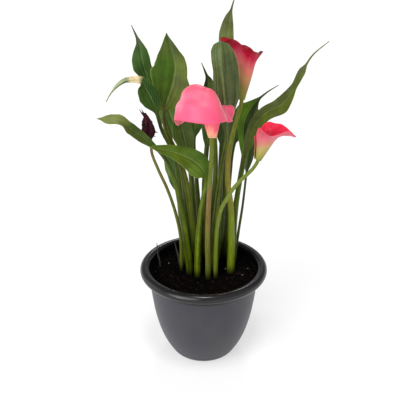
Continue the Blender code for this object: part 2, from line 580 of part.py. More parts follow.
def wilted_head(name, shape, material, collection):
    """The dried bract: a pleated, twisted cone with spikes fused to it."""
    base = np.array(shape["line"][-1], float)
    axis = np.array(shape["top"], float) - base
    up, towards, across = frame_of(axis, (0.3, -1, 0))
    s = np.linspace(0, 1, HEAD_RINGS)
    sides = 4 * shape["folds"]
    angles = 2 * math.pi * np.arange(sides) / sides
    wander = 0.6 * np.sin(4 * s[:, None])
    pleat = 1 + HEAD_PLEAT * np.cos(shape["folds"] * angles[None] + wander)
    swell = 0.18 + np.sin(math.pi * np.clip(s * 1.05, 0, 1)) ** 0.8 * (1 - 0.45 * s)
    radius = shape["body_radius"] * swell[:, None] * pleat
    twist = angles[None] + HEAD_TWIST * s[:, None]
    ring = towards * np.cos(twist)[..., None] + across * np.sin(twist)[..., None]
    centre = base + up * GAP + axis * (s[:, None] * (1 - GAP / np.linalg.norm(axis)))
    rings = centre[:, None] + ring * radius[..., None]
    points, faces = ring_faces(rings)
    head = mesh_object(name, points, faces, material, collection)

    spikes = new_collection("spikes")
    for i, (start, end, radius) in enumerate(shape["spikes"]):
        start, end = np.array(start, float), np.array(end, float)
        up, towards, across = frame_of(end - start, (0.2, -1, 0.1))
        t = np.array([0, 0.35, 0.7, 1])
        sag = np.array([0, 0, -SPIKE_SAG]) * (t * (1 - t))[:, None]
        width = radius * np.array([1, 0.8, 0.5, 0.15])
        turn = 2 * math.pi * np.arange(SPIKE_SIDES) / SPIKE_SIDES
        loop = towards * np.cos(turn)[:, None] + 0.6 * across * np.sin(turn)[:, None]
        rings = (start + (end - start) * t[:, None] + sag)[:, None] + loop * width[:, None, None]
        points, faces = ring_faces(rings)
        mesh_object(f"spike_{i}", points, faces, material, spikes)
    boolean(head, "UNION", spikes)
    for obj in list(spikes.objects):
        bpy.data.objects.remove(obj, do_unlink=True)
    bpy.data.collections.remove(spikes)
    return head


def pot_inner_line():
    """The pot's inner face from the middle of its floor, then over the outside of its roll."""
    line = list(POT_INSIDE)
    for turn in np.radians(np.linspace(RIM_START, RIM_LIP, RIM_STEPS)):
        out, up = RIM_ROLL * math.cos(turn), RIM_ROLL * math.sin(turn)
        line.append((RIM_RADIUS + out, RIM_HEIGHT + up))
    return line


def offset_line(line, distance):
    """The same line moved sideways, to its right, keeping each corner's wall thickness."""
    line = np.asarray(line, float)
    along = unit(np.diff(line, axis=0))
    right = np.stack([along[:, 1], -along[:, 0]], axis=1)
    normals = np.vstack([right[:1], unit(right[:-1] + right[1:]), right[-1:]])
    stretch = np.concatenate([[1], 1 / np.sum(normals[1:-1] * right[:-1], axis=1), [1]])
    return line + normals * (stretch * distance)[:, None]


def turned(name, profile, material, collection):
    """A profile in the XZ plane, turned about Z by a Screw modifier."""
    mesh = bpy.data.meshes.new(name)
    edges = [(i, i + 1) for i in range(len(profile) - 1)]
    mesh.from_pydata([(r * MM, 0, z * MM) for r, z in profile], edges, [])
    mesh.materials.append(material)
    obj = bpy.data.objects.new(name, mesh)
    collection.objects.link(obj)
    screw = obj.modifiers.new("Turn", "SCREW")
    screw.steps = screw.render_steps = POT_SIDES
    screw.use_merge_vertices = True
    screw.merge_threshold = 0.00001
    old, obj.data = obj.data, evaluated_mesh(obj)
    obj.modifiers.remove(screw)
    bpy.data.meshes.remove(old)
    obj.data.shade_smooth()
    obj.data.set_sharp_from_angle(angle=SHARP_ANGLE)
    return obj


def cylinder(name, x, y, bottom, top, radius, sides, collection):
    mesh = bpy.data.meshes.new(name)
    bm = bmesh.new()
    bmesh.ops.create_cone(bm, cap_ends=True, segments=sides, radius1=radius * MM,
                          radius2=radius * MM, depth=(top - bottom) * MM)
    bmesh.ops.translate(bm, vec=(x * MM, y * MM, (top + bottom) / 2 * MM), verts=bm.verts)
    bm.to_mesh(mesh)
    bm.free()
    obj = bpy.data.objects.new(name, mesh)
    obj.hide_render = True
    obj.display_type = "WIRE"
    collection.objects.link(obj)
    return obj


def pot(material, collection):
    inner = pot_inner_line()
    outer = offset_line(inner, POT_WALL)
    body = turned("pot", [*inner, *outer[::-1]], material, collection)
    drains = new_collection("drain cutters")
    for i in range(DRAIN_HOLES):
        turn = 2 * math.pi * (i + 0.5) / DRAIN_HOLES
        x, y = DRAIN_RING * math.cos(turn), DRAIN_RING * math.sin(turn)
        cylinder(f"drain_{i}", x, y, -CUT_PAST, POT_WALL + CUT_PAST, DRAIN_RADIUS, DRAIN_SIDES,
                 drains)
    boolean(body, "DIFFERENCE", drains)
    return body


def mound(x, y):
    """The soil's low mounds: waves, each with its turn a mm along x and y, start and height."""
    return sum(high * math.sin(along_x * x + along_y * y + start)
               for along_x, along_y, start, high in MOUNDS)


def soil(stems, material, collection):
    inside = offset_line(pot_inner_line(), -GAP).tolist()[:len(POT_INSIDE) - 1]
    top = [(SOIL_RING_STEP * i, SOIL_TOP) for i in range(SOIL_RINGS + 1)]
    profile = [*top, (SOIL_EDGE, SOIL_TOP - 1), *inside[::-1]]
    body = turned("soil", profile, material, collection)
    for vertex in body.data.vertices:
        x, y, z = vertex.co / MM
        if z > SOIL_TOP - GAP:
            vertex.co.z = (SOIL_TOP + mound(x, y)) * MM
    holes = new_collection("stem hole cutters")
    for name, (x, y), radius in stems:
        clear = (radius + GAP) / math.cos(math.pi / HOLE_SIDES)
        cylinder(f"hole_{name}", x, y, HOLE_FLOOR, STRAIGHT_TOP, clear, HOLE_SIDES, holes)
    boolean(body, "DIFFERENCE", holes)
    return body


def main():
    clear_scene()
    plant = new_collection("potted calla lily")
    pot_plastic = principled("charcoal plastic", "53515C", 0.55)
    peat = principled("peat", "160D0C", 0.95)
    leaf_green = principled("leaf green", "466428", 0.45)
    stem_green = principled("stem green", "6E7E38", 0.5)
    stem_olive = principled("stem olive", "66722A", 0.5)
    dry_brown = principled("dry brown", "3A332C", 0.8)
    wilted_purple = principled("wilted purple", "381F26", 0.75)
    yellow = principled("spadix yellow", "D9A832", 0.7)
    spathe_paints = {"front": principled("spathe pink", "F3637E", 0.4),
                     "upper": principled("spathe crimson", "B24152", 0.4),
                     "right": principled("spathe rose", "FE3053", 0.4)}

    stems = []
    for name, shape in LEAVES.items():
        leaf(name, shape, leaf_green, plant)
        stems.append((name, shape["root"], shape["stalk"][0]))
    for name, bloom in BLOOMS.items():
        green = stem_olive if name == "upper" else stem_green
        foot = np.array(bloom["line"][-1], float)
        top = foot + SCAPE_IN_SPATHE * unit(bloom["axis"])
        knots = [*bloom["line"], tuple(top)]
        tube(f"scape_{name}", bloom["root"], knots, bloom["radii"], green, plant, bloom["axis"])
        spathe(f"spathe_{name}", bloom, foot, spathe_paints[name], plant)
        spadix(f"spadix_{name}", bloom, top, yellow, plant)
        stems.append((name, bloom["root"], bloom["radii"][0]))
    tube("scape_wilted", WILTED["root"], WILTED["line"], WILTED["radii"], stem_olive, plant)
    wilted_head("spathe_wilted", WILTED, wilted_purple, plant)
    stems.append(("wilted", WILTED["root"], WILTED["radii"][0]))
    for name, stub in STUBS.items():
        tube(name, stub["root"], stub["line"], stub["radii"], dry_brown, plant)
        stems.append((name, stub["root"], stub["radii"][0]))
    pot(pot_plastic, plant)
    soil(stems, peat, plant)


main()
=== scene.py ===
import itertools
import json
import math

import bmesh
import bpy
import numpy as np
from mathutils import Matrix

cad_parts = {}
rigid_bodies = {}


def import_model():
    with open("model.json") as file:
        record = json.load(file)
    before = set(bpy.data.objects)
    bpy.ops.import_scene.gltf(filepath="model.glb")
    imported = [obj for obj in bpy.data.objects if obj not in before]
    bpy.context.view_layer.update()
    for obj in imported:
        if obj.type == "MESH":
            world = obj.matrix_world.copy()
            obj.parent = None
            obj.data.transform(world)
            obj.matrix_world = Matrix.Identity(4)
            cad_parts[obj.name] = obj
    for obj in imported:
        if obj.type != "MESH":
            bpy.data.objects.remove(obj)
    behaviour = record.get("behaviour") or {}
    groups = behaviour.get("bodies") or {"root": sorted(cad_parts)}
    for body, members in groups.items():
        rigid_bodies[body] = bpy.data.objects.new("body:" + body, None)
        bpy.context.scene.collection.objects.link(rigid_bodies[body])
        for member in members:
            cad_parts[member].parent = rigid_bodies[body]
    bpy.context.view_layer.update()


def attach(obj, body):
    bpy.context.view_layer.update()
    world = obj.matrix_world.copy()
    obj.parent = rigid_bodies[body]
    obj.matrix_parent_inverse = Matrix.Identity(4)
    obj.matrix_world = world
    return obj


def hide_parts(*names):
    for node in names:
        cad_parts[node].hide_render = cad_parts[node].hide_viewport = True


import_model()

# Potted calla lily, dressed for a close look. Sizes are millimetres until a mesh is made.
# The middle of the pot's base is the origin, +Z is up and the front is -Y.
mm = 0.001
gap = 0.3            # between pieces that touch


# Tools for numbers

latticeNumbers = np.random.default_rng(7).uniform(-1, 1, 4096)


def unit(vectors):
    vectors = np.asarray(vectors, float)
    return vectors / np.linalg.norm(vectors, axis=-1, keepdims=True)


def smoothStep(values):
    t = np.clip(values, 0, 1)
    return t * t * (3 - 2 * t)


def bell(values, width):
    # 1 at zero, and falling off over the width on both sides
    return np.exp(-(np.asarray(values) / width) ** 2)


def cloud(points, size, seed=0, octaves=3):
    # Noise of about -1 to 1: a random number at each corner of a lattice of the given size,
    # blended smoothly in between, plus finer and weaker layers of the same.
    points = np.asarray(points, float)
    total = 0
    for octave in range(octaves):
        place = points * (2**octave / size) + 17.3 * seed
        cell = np.floor(place).astype(np.int64)
        share = smoothStep(place - cell)
        for corner in itertools.product((0, 1), repeat=3):
            at = (cell + corner) * (73856093, 19349663, 83492791)
            pick = (at[..., 0] ^ at[..., 1] ^ at[..., 2]) % len(latticeNumbers)
            weight = np.prod(np.where(corner, share, 1 - share), axis=-1)
            total = total + weight * latticeNumbers[pick] * 0.5**octave
    return total


def stemLine(root, knots, lastWay=None, steps=60):
    # A Hermite curve from the soil through the knots. It starts straight up. The slope at a
    # knot is the mean of its two chords' slopes, each weighed by the other chord's length.
    # Also gives the distance along it of each point and of each knot.
    knots = np.array([(*root, stemSetting["straightTop"]), *knots], float)
    chords = np.linalg.norm(np.diff(knots, axis=0), axis=1)
    slopes = np.diff(knots, axis=0) / chords[:, None]
    weights = chords[1:, None] / (chords[:-1] + chords[1:])[:, None]
    inner = slopes[:-1] * weights + slopes[1:] * (1 - weights)
    tangents = np.vstack([(0, 0, 1), inner, slopes[-1] if lastWay is None else unit(lastWay)])
    t = np.linspace(0, 1, steps + 1)[:, None]
    pieces = [knots[:1]]
    for i, chord in enumerate(chords):
        curve = ((2 * t**3 - 3 * t**2 + 1) * knots[i] + (3 * t**2 - 2 * t**3) * knots[i + 1]
                 + chord * ((t**3 - 2 * t**2 + t) * tangents[i] + (t**3 - t**2) * tangents[i + 1]))
        pieces.append(curve[1:])
    points = np.vstack(pieces)
    lengths = np.concatenate([[0], np.cumsum(np.linalg.norm(np.diff(points, axis=0), axis=1))])
    return points, lengths, lengths[::steps]


def carried(points, lengths, places):
    # The points at some places along a line, and the way it runs there, upright at its start
    here, after, before = [
        np.stack([np.interp(places + step, lengths, points[:, i]) for i in range(3)], axis=1)
        for step in (0, 1.5, -1.5)]
    ahead = unit(after - before)
    ahead[0] = (0, 0, 1)
    return here, ahead


def evenAngles(count):
    return 2 * math.pi * np.arange(count) / count


def around(first, second, angles):
    # Directions at some angles from the first axis to the second
    toFirst, toSecond = np.cos(angles)[..., None], np.sin(angles)[..., None]
    return first[..., None, :] * toFirst + second[..., None, :] * toSecond


def turnedAxes(axis, lean):
    # Along the axis, towards the lean, and square to both
    up = unit(axis)
    towards = unit(np.asarray(lean, float) - np.dot(lean, up) * up)
    return up, towards, np.cross(up, towards)


# Tools for meshes

def tubeFaces(rows, count):
    # Quads between rings of points that run all the way round, and a fan over each end.
    # The middles of the two ends are the last two points.
    here = np.arange(rows * count).reshape(rows, count)
    right = np.roll(here, -1, axis=1)
    quads = np.stack([here[:-1], right[:-1], right[1:], here[1:]], -1).reshape(-1, 4)
    first = np.stack([right[0], here[0], np.full(count, rows * count)], -1)
    last = np.stack([here[-1], right[-1], np.full(count, rows * count + 1)], -1)
    return [quads, np.concatenate([first, last])]


def sheetFaces(rows, columns):
    # Quads over the front and the back of an open sheet, and a strip round its edge
    front = np.arange(rows * columns).reshape(rows, columns)
    quads = np.stack([front[:-1, :-1], front[:-1, 1:], front[1:, 1:], front[1:, :-1]], -1)
    quads = quads.reshape(-1, 4)
    behind = rows * columns
    edge = np.concatenate([front[0, :-1], front[:-1, -1], front[-1, :0:-1], front[:0:-1, 0]])
    after = np.roll(edge, -1)
    strip = np.stack([after, edge, edge + behind, after + behind], -1)
    return [np.concatenate([quads, quads[:, ::-1] + behind, strip])]


def capped(rings):
    # The points of the rings, then the middle of the first and of the last ring
    ends = rings[[0, -1]].mean(1)
    return np.concatenate([rings.reshape(-1, rings.shape[-1]), ends])


def surface(name, points, faces, marks=None):
    # Puts points and faces into a mesh object. The faces are turned outwards, which they are
    # when the solid's volume comes out above zero. Marks are numbers kept at every point for
    # the material to read.
    volume = sum(np.sum(points[f[:, 0]] * np.cross(points[f[:, i]], points[f[:, i + 1]]))
                 for f in faces for i in range(1, f.shape[1] - 1))
    if volume < 0:
        faces = [f[:, ::-1] for f in faces]
    mesh = bpy.data.meshes.new(name)
    corners = np.concatenate([f.ravel() for f in faces])
    sizes = np.concatenate([np.full(len(f), f.shape[1]) for f in faces])
    mesh.vertices.add(len(points))
    mesh.vertices.foreach_set("co", (points * mm).astype(np.float32).ravel())
    mesh.loops.add(len(corners))
    mesh.loops.foreach_set("vertex_index", corners.astype(np.int32))
    mesh.polygons.add(len(sizes))
    starts = np.concatenate([[0], np.cumsum(sizes)[:-1]])
    mesh.polygons.foreach_set("loop_start", starts.astype(np.int32))
    mesh.update(calc_edges=True)
    for mark, values in (marks or {}).items():
        layer = mesh.attributes.new(mark, "FLOAT", "POINT")
        layer.data.foreach_set("value", np.asarray(values, np.float32).ravel())
    mesh.shade_smooth()
    piece = bpy.data.objects.new(name, mesh)
    bpy.context.scene.collection.objects.link(piece)
    return piece


def tubePiece(name, rings, *marks):
    # A closed tube, where the numbers after a ring point's three places are its marks
    points = capped(rings)
    return surface(name, points[:, :3], tubeFaces(len(rings), rings.shape[1]),
                   dict(zip(marks, points[:, 3:].T)))


def finishedMesh(piece):
    # Applies the piece's modifiers
    graph = bpy.context.evaluated_depsgraph_get()
    mesh = bpy.data.meshes.new_from_object(piece.evaluated_get(graph))
    piece.modifiers.clear()
    old, piece.data = piece.data, mesh
    bpy.data.meshes.remove(old)
    return piece


def settle(piece, paint, slot, *nodes):
    # Gives a piece its material and its body, and hides the CAD nodes that it stands for
    piece.data.materials.clear()
    piece.data.materials.append(paint)
    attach(piece, "root")
    if nodes:
        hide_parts(*nodes)
    return piece


def pieceName(node):
    return node.replace("_", " ").title().replace(" ", "")


# Tools for materials

def ink(text):
    # An sRGB hex colour as linear numbers
    channels = [int(text[i:i + 2], 16) / 255 for i in (0, 2, 4)]
    return (*[c / 12.92 if c <= 0.04045 else ((c + 0.055) / 1.055) ** 2.4 for c in channels], 1.0)


def newPaint(name):
    paint = bpy.data.materials.new(name)
    paint.use_nodes = True
    return paint, paint.node_tree, paint.node_tree.nodes["Principled BSDF"]


def fill(tree, node, inputs):
    # Fills a node's inputs, by name or in their own order, with links, hex colours or numbers
    for name, value in inputs.items() if isinstance(inputs, dict) else enumerate(inputs):
        if isinstance(value, bpy.types.NodeSocket):
            tree.links.new(value, node.inputs[name])
        else:
            node.inputs[name].default_value = ink(value) if isinstance(value, str) else value


def addNode(tree, kind, inputs, give=None, stops=(), **settings):
    # Adds a node, sets it up, and gives the named output, or else the first one in use. In
    # its own order a Map Range takes the value, the range it lies in and the range to go to.
    node = tree.nodes.new("ShaderNode" + kind)
    for name, value in settings.items():
        setattr(node, name, value)
    fill(tree, node, inputs)
    for i, (place, colour) in enumerate(stops):
        points = node.color_ramp.elements
        point = points[i] if i < 2 else points.new(place)
        point.position, point.color = place, ink(colour)
    return node.outputs[give] if give else next(out for out in node.outputs if out.enabled)


def layered(tree, colour, layers, **settings):
    # Lays colours over a colour, each by its own share from 0 to 1
    for share, over in layers:
        colour = addNode(tree, "Mix", {0: share, 6: colour, 7: over}, data_type="RGBA", **settings)
    return colour


# Stems stand upright in the soil up to straightTop, and end below its top, at foot. Painted
# shade darkens them from the soil up to a set height.

stemSetting = dict(foot=94.3, straightTop=119.0, ridges=0.018, stalkRidges=13, scapeRidges=7,
                   sides=28, soilTop=114.0, footShadeTop=131.0, footShade="16120A", footShadeShare=0.9)


def footShaded(tree, place, colour):
    # The colour of a stem, with painted shade darkening its foot
    height = addNode(tree, "SeparateXYZ", [place], "Z")
    share = addNode(tree, "MapRange", [height, stemSetting["footShadeTop"] * mm,
                                       stemSetting["soilTop"] * mm, 0, stemSetting["footShadeShare"]],
                    interpolation_type="SMOOTHSTEP")
    return layered(tree, colour, [(share, stemSetting["footShade"])])


# Leaves

bladeSetting = dict(
    thickness=0.9, edgeThickness=0.4, ribDepth=1.5, ribWidth=1.3, grooveDepth=0.45,
    stalkShare=0.3, flatShare=0.12, waveLead=1.9, columns=31, stalkRings=34, rings=170,
    smoothing=0.05, veinStep=5.5, veinSlant=1.5, veinDepth=0.13, ruffle=0.5, ruffleSize=14.0,
    swell=0.8, swellSize=22.0)

# The usual outline of a calla leaf: shares of its length, and of its half width
plainOutline = [(0.09, 0.3), (0.2, 0.66), (0.4, 1.0), (0.58, 0.88), (0.75, 0.5), (0.87, 0.14),
                (0.93, 0.05)]

# Each leaf: its root, the line of its stalk and blade up to the tip, the knot where the blade
# starts, the halves of its outline as the share of the blade's length and the widths left and
# right of the rib (or the full width of a leaf with the usual outline), the way the upper face
# looks from its start to its tip, the angle of its halves at the rib and at the margin, the
# height, number and phase of its waves, the stalk's radius at the soil and at the blade, and
# its colours: left and right half, tip, stalk's foot and top. The two halves' colours hold
# painted light and shade: one half is painted lighter than the other, as light falls on it.
# A leaf may also have its own place where the tip's colour starts, a dry band by its middle
# and width, a colour for the tip's right half, and its own depth of streaks.
leaves = {
    "leaf_low_left": dict(
        root=(-19, 2), start=4, waves=(1.4, 3, 0.4),
        line=[(-23, -4, 167), (-30, -9, 221), (-36, -15, 257), (-51, -27, 297), (-69, -36, 318),
              (-84, -43, 333), (-97, -48, 344), (-109, -50, 346), (-121, -50, 347)],
        halves=[(0.3, 6, 6), (0.55, 7, 7), (0.63, 5.5, 5.5), (0.74, 7.5, 8.5), (0.84, 7.5, 7),
                (0.9, 6, 4), (0.95, 2, 1.5)],
        face=[*[(0.1, -1.0, -0.1)] * 4, *[(0.0, -0.6, 0.8)] * 3], fold=(22, 8), tipFrom=0.79,
        stalk=(4.8, 2.4), colours=("3C4D0B", "384B0F", "717A3F", "4E5C0D", "49580D")),
    "leaf_front_droop": dict(
        root=(-8, -6), start=4, waves=(1.8, 2, 1.2),
        line=[(-7, -9, 169), (-4, -14, 214), (0, -19, 242), (3, -24, 262), (-1, -29, 277),
              (-12, -34, 290), (-25, -39, 299), (-37, -43, 305), (-49, -47, 309),
              (-63, -50, 314)],
        halves=[(0.06, 6, 5), (0.16, 14, 11), (0.32, 17, 13.5), (0.5, 15.5, 11.5),
                (0.68, 9.5, 8.5), (0.82, 6, 6), (0.92, 3.5, 3.5)],
        face=[(0.2, -0.9, 0.3), (0.0, -0.8, 0.6), (-0.1, -0.7, 0.7)], fold=(18, 6),
        stalk=(4.4, 2.3), colours=("526D16", "425E11", "485F19", "5A6911", "607319")),
    "leaf_pointed": dict(
        root=(-7, 14), start=6, waves=(1.8, 2, 0.0),
        line=[(-13, 12, 167), (-19, 10, 219), (-25, 9, 256), (-36, 9, 289), (-46, 10, 312),
              (-49, 10, 335), (-44, 10, 353), (-37, 12, 373), (-34, 17, 390), (-38, 24, 407),
              (-45, 33, 428)],
        halves=[(0.09, 7, 10), (0.19, 16, 19), (0.29, 23.5, 24), (0.4, 29, 22),
                (0.48, 31.5, 15.5), (0.67, 26, 12.5), (0.76, 19.5, 8.5), (0.93, 6, 2)],
        face=[(0.1, -1.0, 0.2), (0.1, -0.9, 0.4), (0.1, -0.9, 0.5)], fold=(22, 14),
        stalk=(4.8, 2.7), colours=("3B5B10", "4C5A13", "425319", "49560D", "585A16")),
    "leaf_up_left": dict(
        root=(-25, 27), start=7, waves=(1.6, 2, 2.0),
        line=[(-28, 28, 176), (-31, 27, 219), (-35, 26, 258), (-39, 26, 284), (-46, 26, 312),
              (-52, 26, 333), (-57, 26, 345), (-65, 26, 365), (-71, 26, 382), (-75, 26, 400),
              (-78, 29, 417), (-87, 39, 436)],
        halves=[(0.11, 5.5, 5.5), (0.31, 7, 8), (0.4, 10.5, 9.5), (0.48, 15, 9.5),
                (0.58, 13.5, 10), (0.67, 9, 8.5), (0.76, 3.5, 4), (0.83, 1.5, 1.5)],
        face=[(0.2, -0.9, 0.3), (0.2, -0.9, 0.4), (0.0, -0.9, 0.4)], fold=(20, 12),
        stalk=(4.0, 2.2), colours=("385826", "34541B", "3B482E", "525E11", "495A16")),
    "leaf_folded_tip": dict(
        root=(-20, 15), start=6, waves=(1.2, 2, 0.8),
        line=[(-24, 12, 184), (-31, 7, 232), (-34, 2, 267), (-41, -2, 296), (-51, -5, 319),
              (-55, -7, 336), (-60, -9, 354), (-67, -11, 370), (-73, -15, 382), (-79, -17, 383),
              (-91, -21, 382), (-98, -23, 378), (-106, -26, 371), (-113, -28, 360)],
        halves=[(0.09, 4.5, 5), (0.18, 11.5, 9), (0.28, 14.5, 11), (0.36, 12.5, 10),
                (0.5, 5.5, 4.5), (0.62, 4, 4.5), (0.68, 2, 4.5), (0.76, 1, 4), (0.87, 1, 1)],
        face=[(0.2, -1.0, 0.2), (0.0, -0.8, 0.6), (-0.3, -0.4, 0.9)], fold=(16, 12),
        stalk=(4.0, 2.3), colours=("2A4E13", "1E4208", "484E32", "46560D", "465A16"),
        dryBand=(0.785, 0.045), tipFrom=0.8, membrane="A8B48C"),
    "leaf_tall_back": dict(
        root=(20, 38), start=4, waves=(1.2, 2, 0.6),
        line=[(24, 42, 159), (28, 48, 225), (33, 55, 290), (35, 57, 316), (34, 59, 339),
              (31, 68, 388), (30, 71, 421), (32, 70, 440), (35, 66, 456), (38, 62, 467)],
        halves=[(0.15, 7.5, 7.5), (0.32, 11.5, 9.5), (0.49, 12.5, 10), (0.7, 11.5, 8),
                (0.77, 9, 6.5), (0.83, 6, 4), (0.88, 1.5, 1.5)],
        face=[(0.0, -1.0, 0.1), (0.0, -1.0, 0.1), (-0.2, -0.9, 0.3)], fold=(26, 18),
        stalk=(4.4, 2.7), colours=("697842", "5F6936", "566035", "46520F", "4A5A17")),
    "leaf_hood": dict(
        root=(14, 10), start=4, waves=(1.6, 2, 0.0),
        line=[(14, 6, 164), (19, 2, 238), (24, 0, 279), (28, -1, 305), (28, -2, 325),
              (26, -4, 341), (22, -6, 375), (19, -7, 406), (19, -4, 415), (19, 8, 422),
              (19, 15, 420), (18, 21, 415)],
        halves=[(0.14, 6.5, 6.5), (0.26, 12, 10), (0.37, 19.5, 14), (0.62, 21.5, 10),
                (0.72, 19.5, 11.5), (0.79, 16, 12), (0.89, 9, 8), (0.95, 4, 4)],
        face=[(0.0, 1.0, 0.0), (0.0, 1.0, 0.0), (0.0, 0.6, -0.8)], fold=(14, 24),
        stalk=(4.4, 2.7), streak=0.5, colours=("24310E", "314015", "3A481C", "46520E", "505C17")),
    "leaf_slim_middle": dict(
        root=(7, 30), start=4, waves=(1.0, 2, 0.0),
        line=[(10, 30, 151), (14.5, 30, 226), (15.5, 29, 268), (13, 28, 308), (8, 27, 341),
              (5, 26, 358), (4, 24, 375), (0, 22, 387), (-3, 20, 395)],
        halves=[(0.32, 8, 8), (0.53, 9.5, 9.5), (0.65, 8, 9), (0.74, 5, 6), (0.8, 2, 2)],
        face=[(0.1, -1.0, 0.1), (0.2, -0.9, 0.4), (0.4, -0.7, 0.7)], fold=(24, 20),
        stalk=(4.4, 2.8), colours=("2A3B14", "4A5D27", "2A351A", "404C0A", "485612")),
    "leaf_far_right": dict(
        root=(41, 25), start=4, waves=(2.0, 3, 0.5),
        line=[(41, 22, 167), (44, 20, 215), (48, 18, 247), (52, 16, 273), (55, 14, 292),
              (65, 10, 325), (74, 7, 336), (94, 1, 350), (99, -1, 357), (108, -3, 373),
              (115, -5, 391), (124, -8, 409), (141, -12, 426)],
        halves=[(0.11, 5, 6.5), (0.29, 7.5, 11), (0.44, 8, 11), (0.5, 10, 13), (0.56, 9, 10),
                (0.65, 5, 3.5), (0.76, 5, 5.5), (0.8, 1.5, 1.5)],
        face=[(-0.2, -1.0, 0.2), (-0.3, -0.8, 0.6), (-0.8, -0.4, 0.4)], fold=(22, 8),
        stalk=(4.2, 2.5), colours=("3F4B17", "475611", "525B32", "526211", "4C5E17")),
    "leaf_right": dict(
        root=(35, 35), start=4, waves=(1.6, 2, 1.0),
        line=[(38, 37, 153), (44, 38, 209), (48, 38, 243), (51, 38, 265), (52, 38, 280),
              (51, 39, 295), (55, 42, 323), (66, 44, 340), (79, 45, 352), (94, 45, 362)],
        halves=[(0.13, 4.5, 5), (0.26, 6.5, 8), (0.4, 9, 8.5), (0.52, 12, 11),
                (0.61, 10.5, 8.5), (0.69, 5, 5), (0.76, 1.5, 1.5)],
        face=[(-0.2, -1.0, 0.2), (-0.3, -0.8, 0.6), (-0.3, -0.7, 0.7)], fold=(22, 12),
        stalk=(4.0, 2.3), colours=("486A06", "233804", "374024", "526211", "4E5E16")),
    "leaf_right_inner": dict(
        root=(45, 38), start=3, width=20, waves=(1.5, 2, 0.0),
        line=[(48, 38, 156), (53, 41, 196), (57, 45, 240), (60, 50, 270), (64, 56, 298),
              (69, 65, 320), (73, 77, 332)],
        face=[(-0.2, -1.0, 0.2), (-0.3, -0.7, 0.7), (0.0, -0.3, 1.0)], fold=(24, 14),
        stalk=(2.0, 1.5), colours=("41542A", "3D4D24", "414F2A", "445026", "44542D")),
    "leaf_inner_left": dict(
        root=(-12, 26), start=3, width=30, waves=(1.5, 2, 0.7),
        line=[(-13, 31, 174), (-15, 36, 222), (-19, 42, 263), (-25, 48, 291), (-31, 56, 316),
              (-37, 64, 335)],
        face=[(0.0, -1.0, 0.2), (-0.2, -0.8, 0.6), (-0.2, -0.6, 0.8)], fold=(26, 14),
        stalk=(5.0, 3.4), colours=("3F541A", "3B4D18", "414F24", "4B5815", "485618")),
    "leaf_inner_middle": dict(
        root=(0, 38), start=4, width=19, waves=(1.5, 2, 0.2),
        line=[(1, 40, 175), (1, 42, 221), (2, 44, 251), (4, 48, 277), (6, 56, 300), (8, 66, 318),
              (7, 78, 330)],
        face=[(0.0, -1.0, 0.2), (0.1, -0.8, 0.6), (0.1, -0.5, 0.9)], fold=(26, 14),
        stalk=(4.8, 3.2), colours=("3B501A", "384916", "414F24", "445016", "445218")),
    "leaf_inner_right": dict(
        root=(17, 21), start=4, width=20, waves=(1.2, 2, 1.1),
        line=[(20, 24, 190), (21.5, 27, 226), (22, 31, 258), (23, 37, 284), (24, 44, 305),
              (24, 51, 322), (22, 57, 334)],
        face=[(0.0, -1.0, 0.2), (0.1, -0.8, 0.6), (0.2, -0.5, 0.9)], fold=(26, 14),
        stalk=(4.4, 3.0), colours=("34481C", "334218", "414F24", "465218", "414F18")),
    "leaf_back_left": dict(
        root=(-19, 42), start=3, width=34, waves=(2.5, 3, 0.3),
        line=[(-23, 48, 175), (-29, 57, 235), (-33, 67, 275), (-41, 81, 303), (-49, 97, 318),
              (-56, 113, 316), (-62, 126, 306)],
        face=[(-0.1, -0.8, 0.6), (-0.2, -0.3, 1.0), (-0.2, 0.4, 0.9)], fold=(24, 10),
        stalk=(4.0, 2.5), colours=("3D5B21", "446223", "4F5B31", "485218", "4B5B24")),
    "leaf_back_middle": dict(
        root=(-3, 48), start=3, width=36, waves=(2.2, 3, 1.6),
        line=[(-6, 53, 175), (-10, 60, 235), (-13, 70, 280), (-10, 85, 313), (-5, 104, 330),
              (0, 123, 328), (5, 140, 316)],
        face=[(0.0, -0.8, 0.6), (0.0, -0.3, 1.0), (0.0, 0.4, 0.9)], fold=(22, 8),
        stalk=(4.2, 2.5), colours=("3A581A", "415F1F", "4F5B31", "485218", "4B5B24")),
    "leaf_back_right": dict(
        root=(31, 48), start=3, width=34, waves=(2.4, 3, 0.9),
        line=[(33, 54, 180), (36, 63, 232), (41, 73, 272), (52, 87, 300), (62, 103, 313),
              (73, 118, 310), (82, 130, 299)],
        face=[(0.1, -0.8, 0.6), (0.3, -0.3, 1.0), (0.3, 0.4, 0.9)], fold=(24, 10),
        stalk=(4.2, 2.4), colours=("425F24", "3D5921", "4F5B31", "485218", "4B5B24")),
    "leaf_back_low": dict(
        root=(-27, 37), start=2, width=30, waves=(2.2, 2, 0.0),
        line=[(-31, 46, 165), (-35, 57, 205), (-38, 70, 236), (-43, 86, 255), (-49, 103, 258),
              (-55, 118, 250)],
        face=[(-0.2, -0.7, 0.7), (-0.3, -0.2, 1.0), (-0.3, 0.4, 0.9)], fold=(24, 10),
        stalk=(3.8, 2.3), colours=("415D26", "46642A", "4F5B31", "485218", "4B5B24")),
}


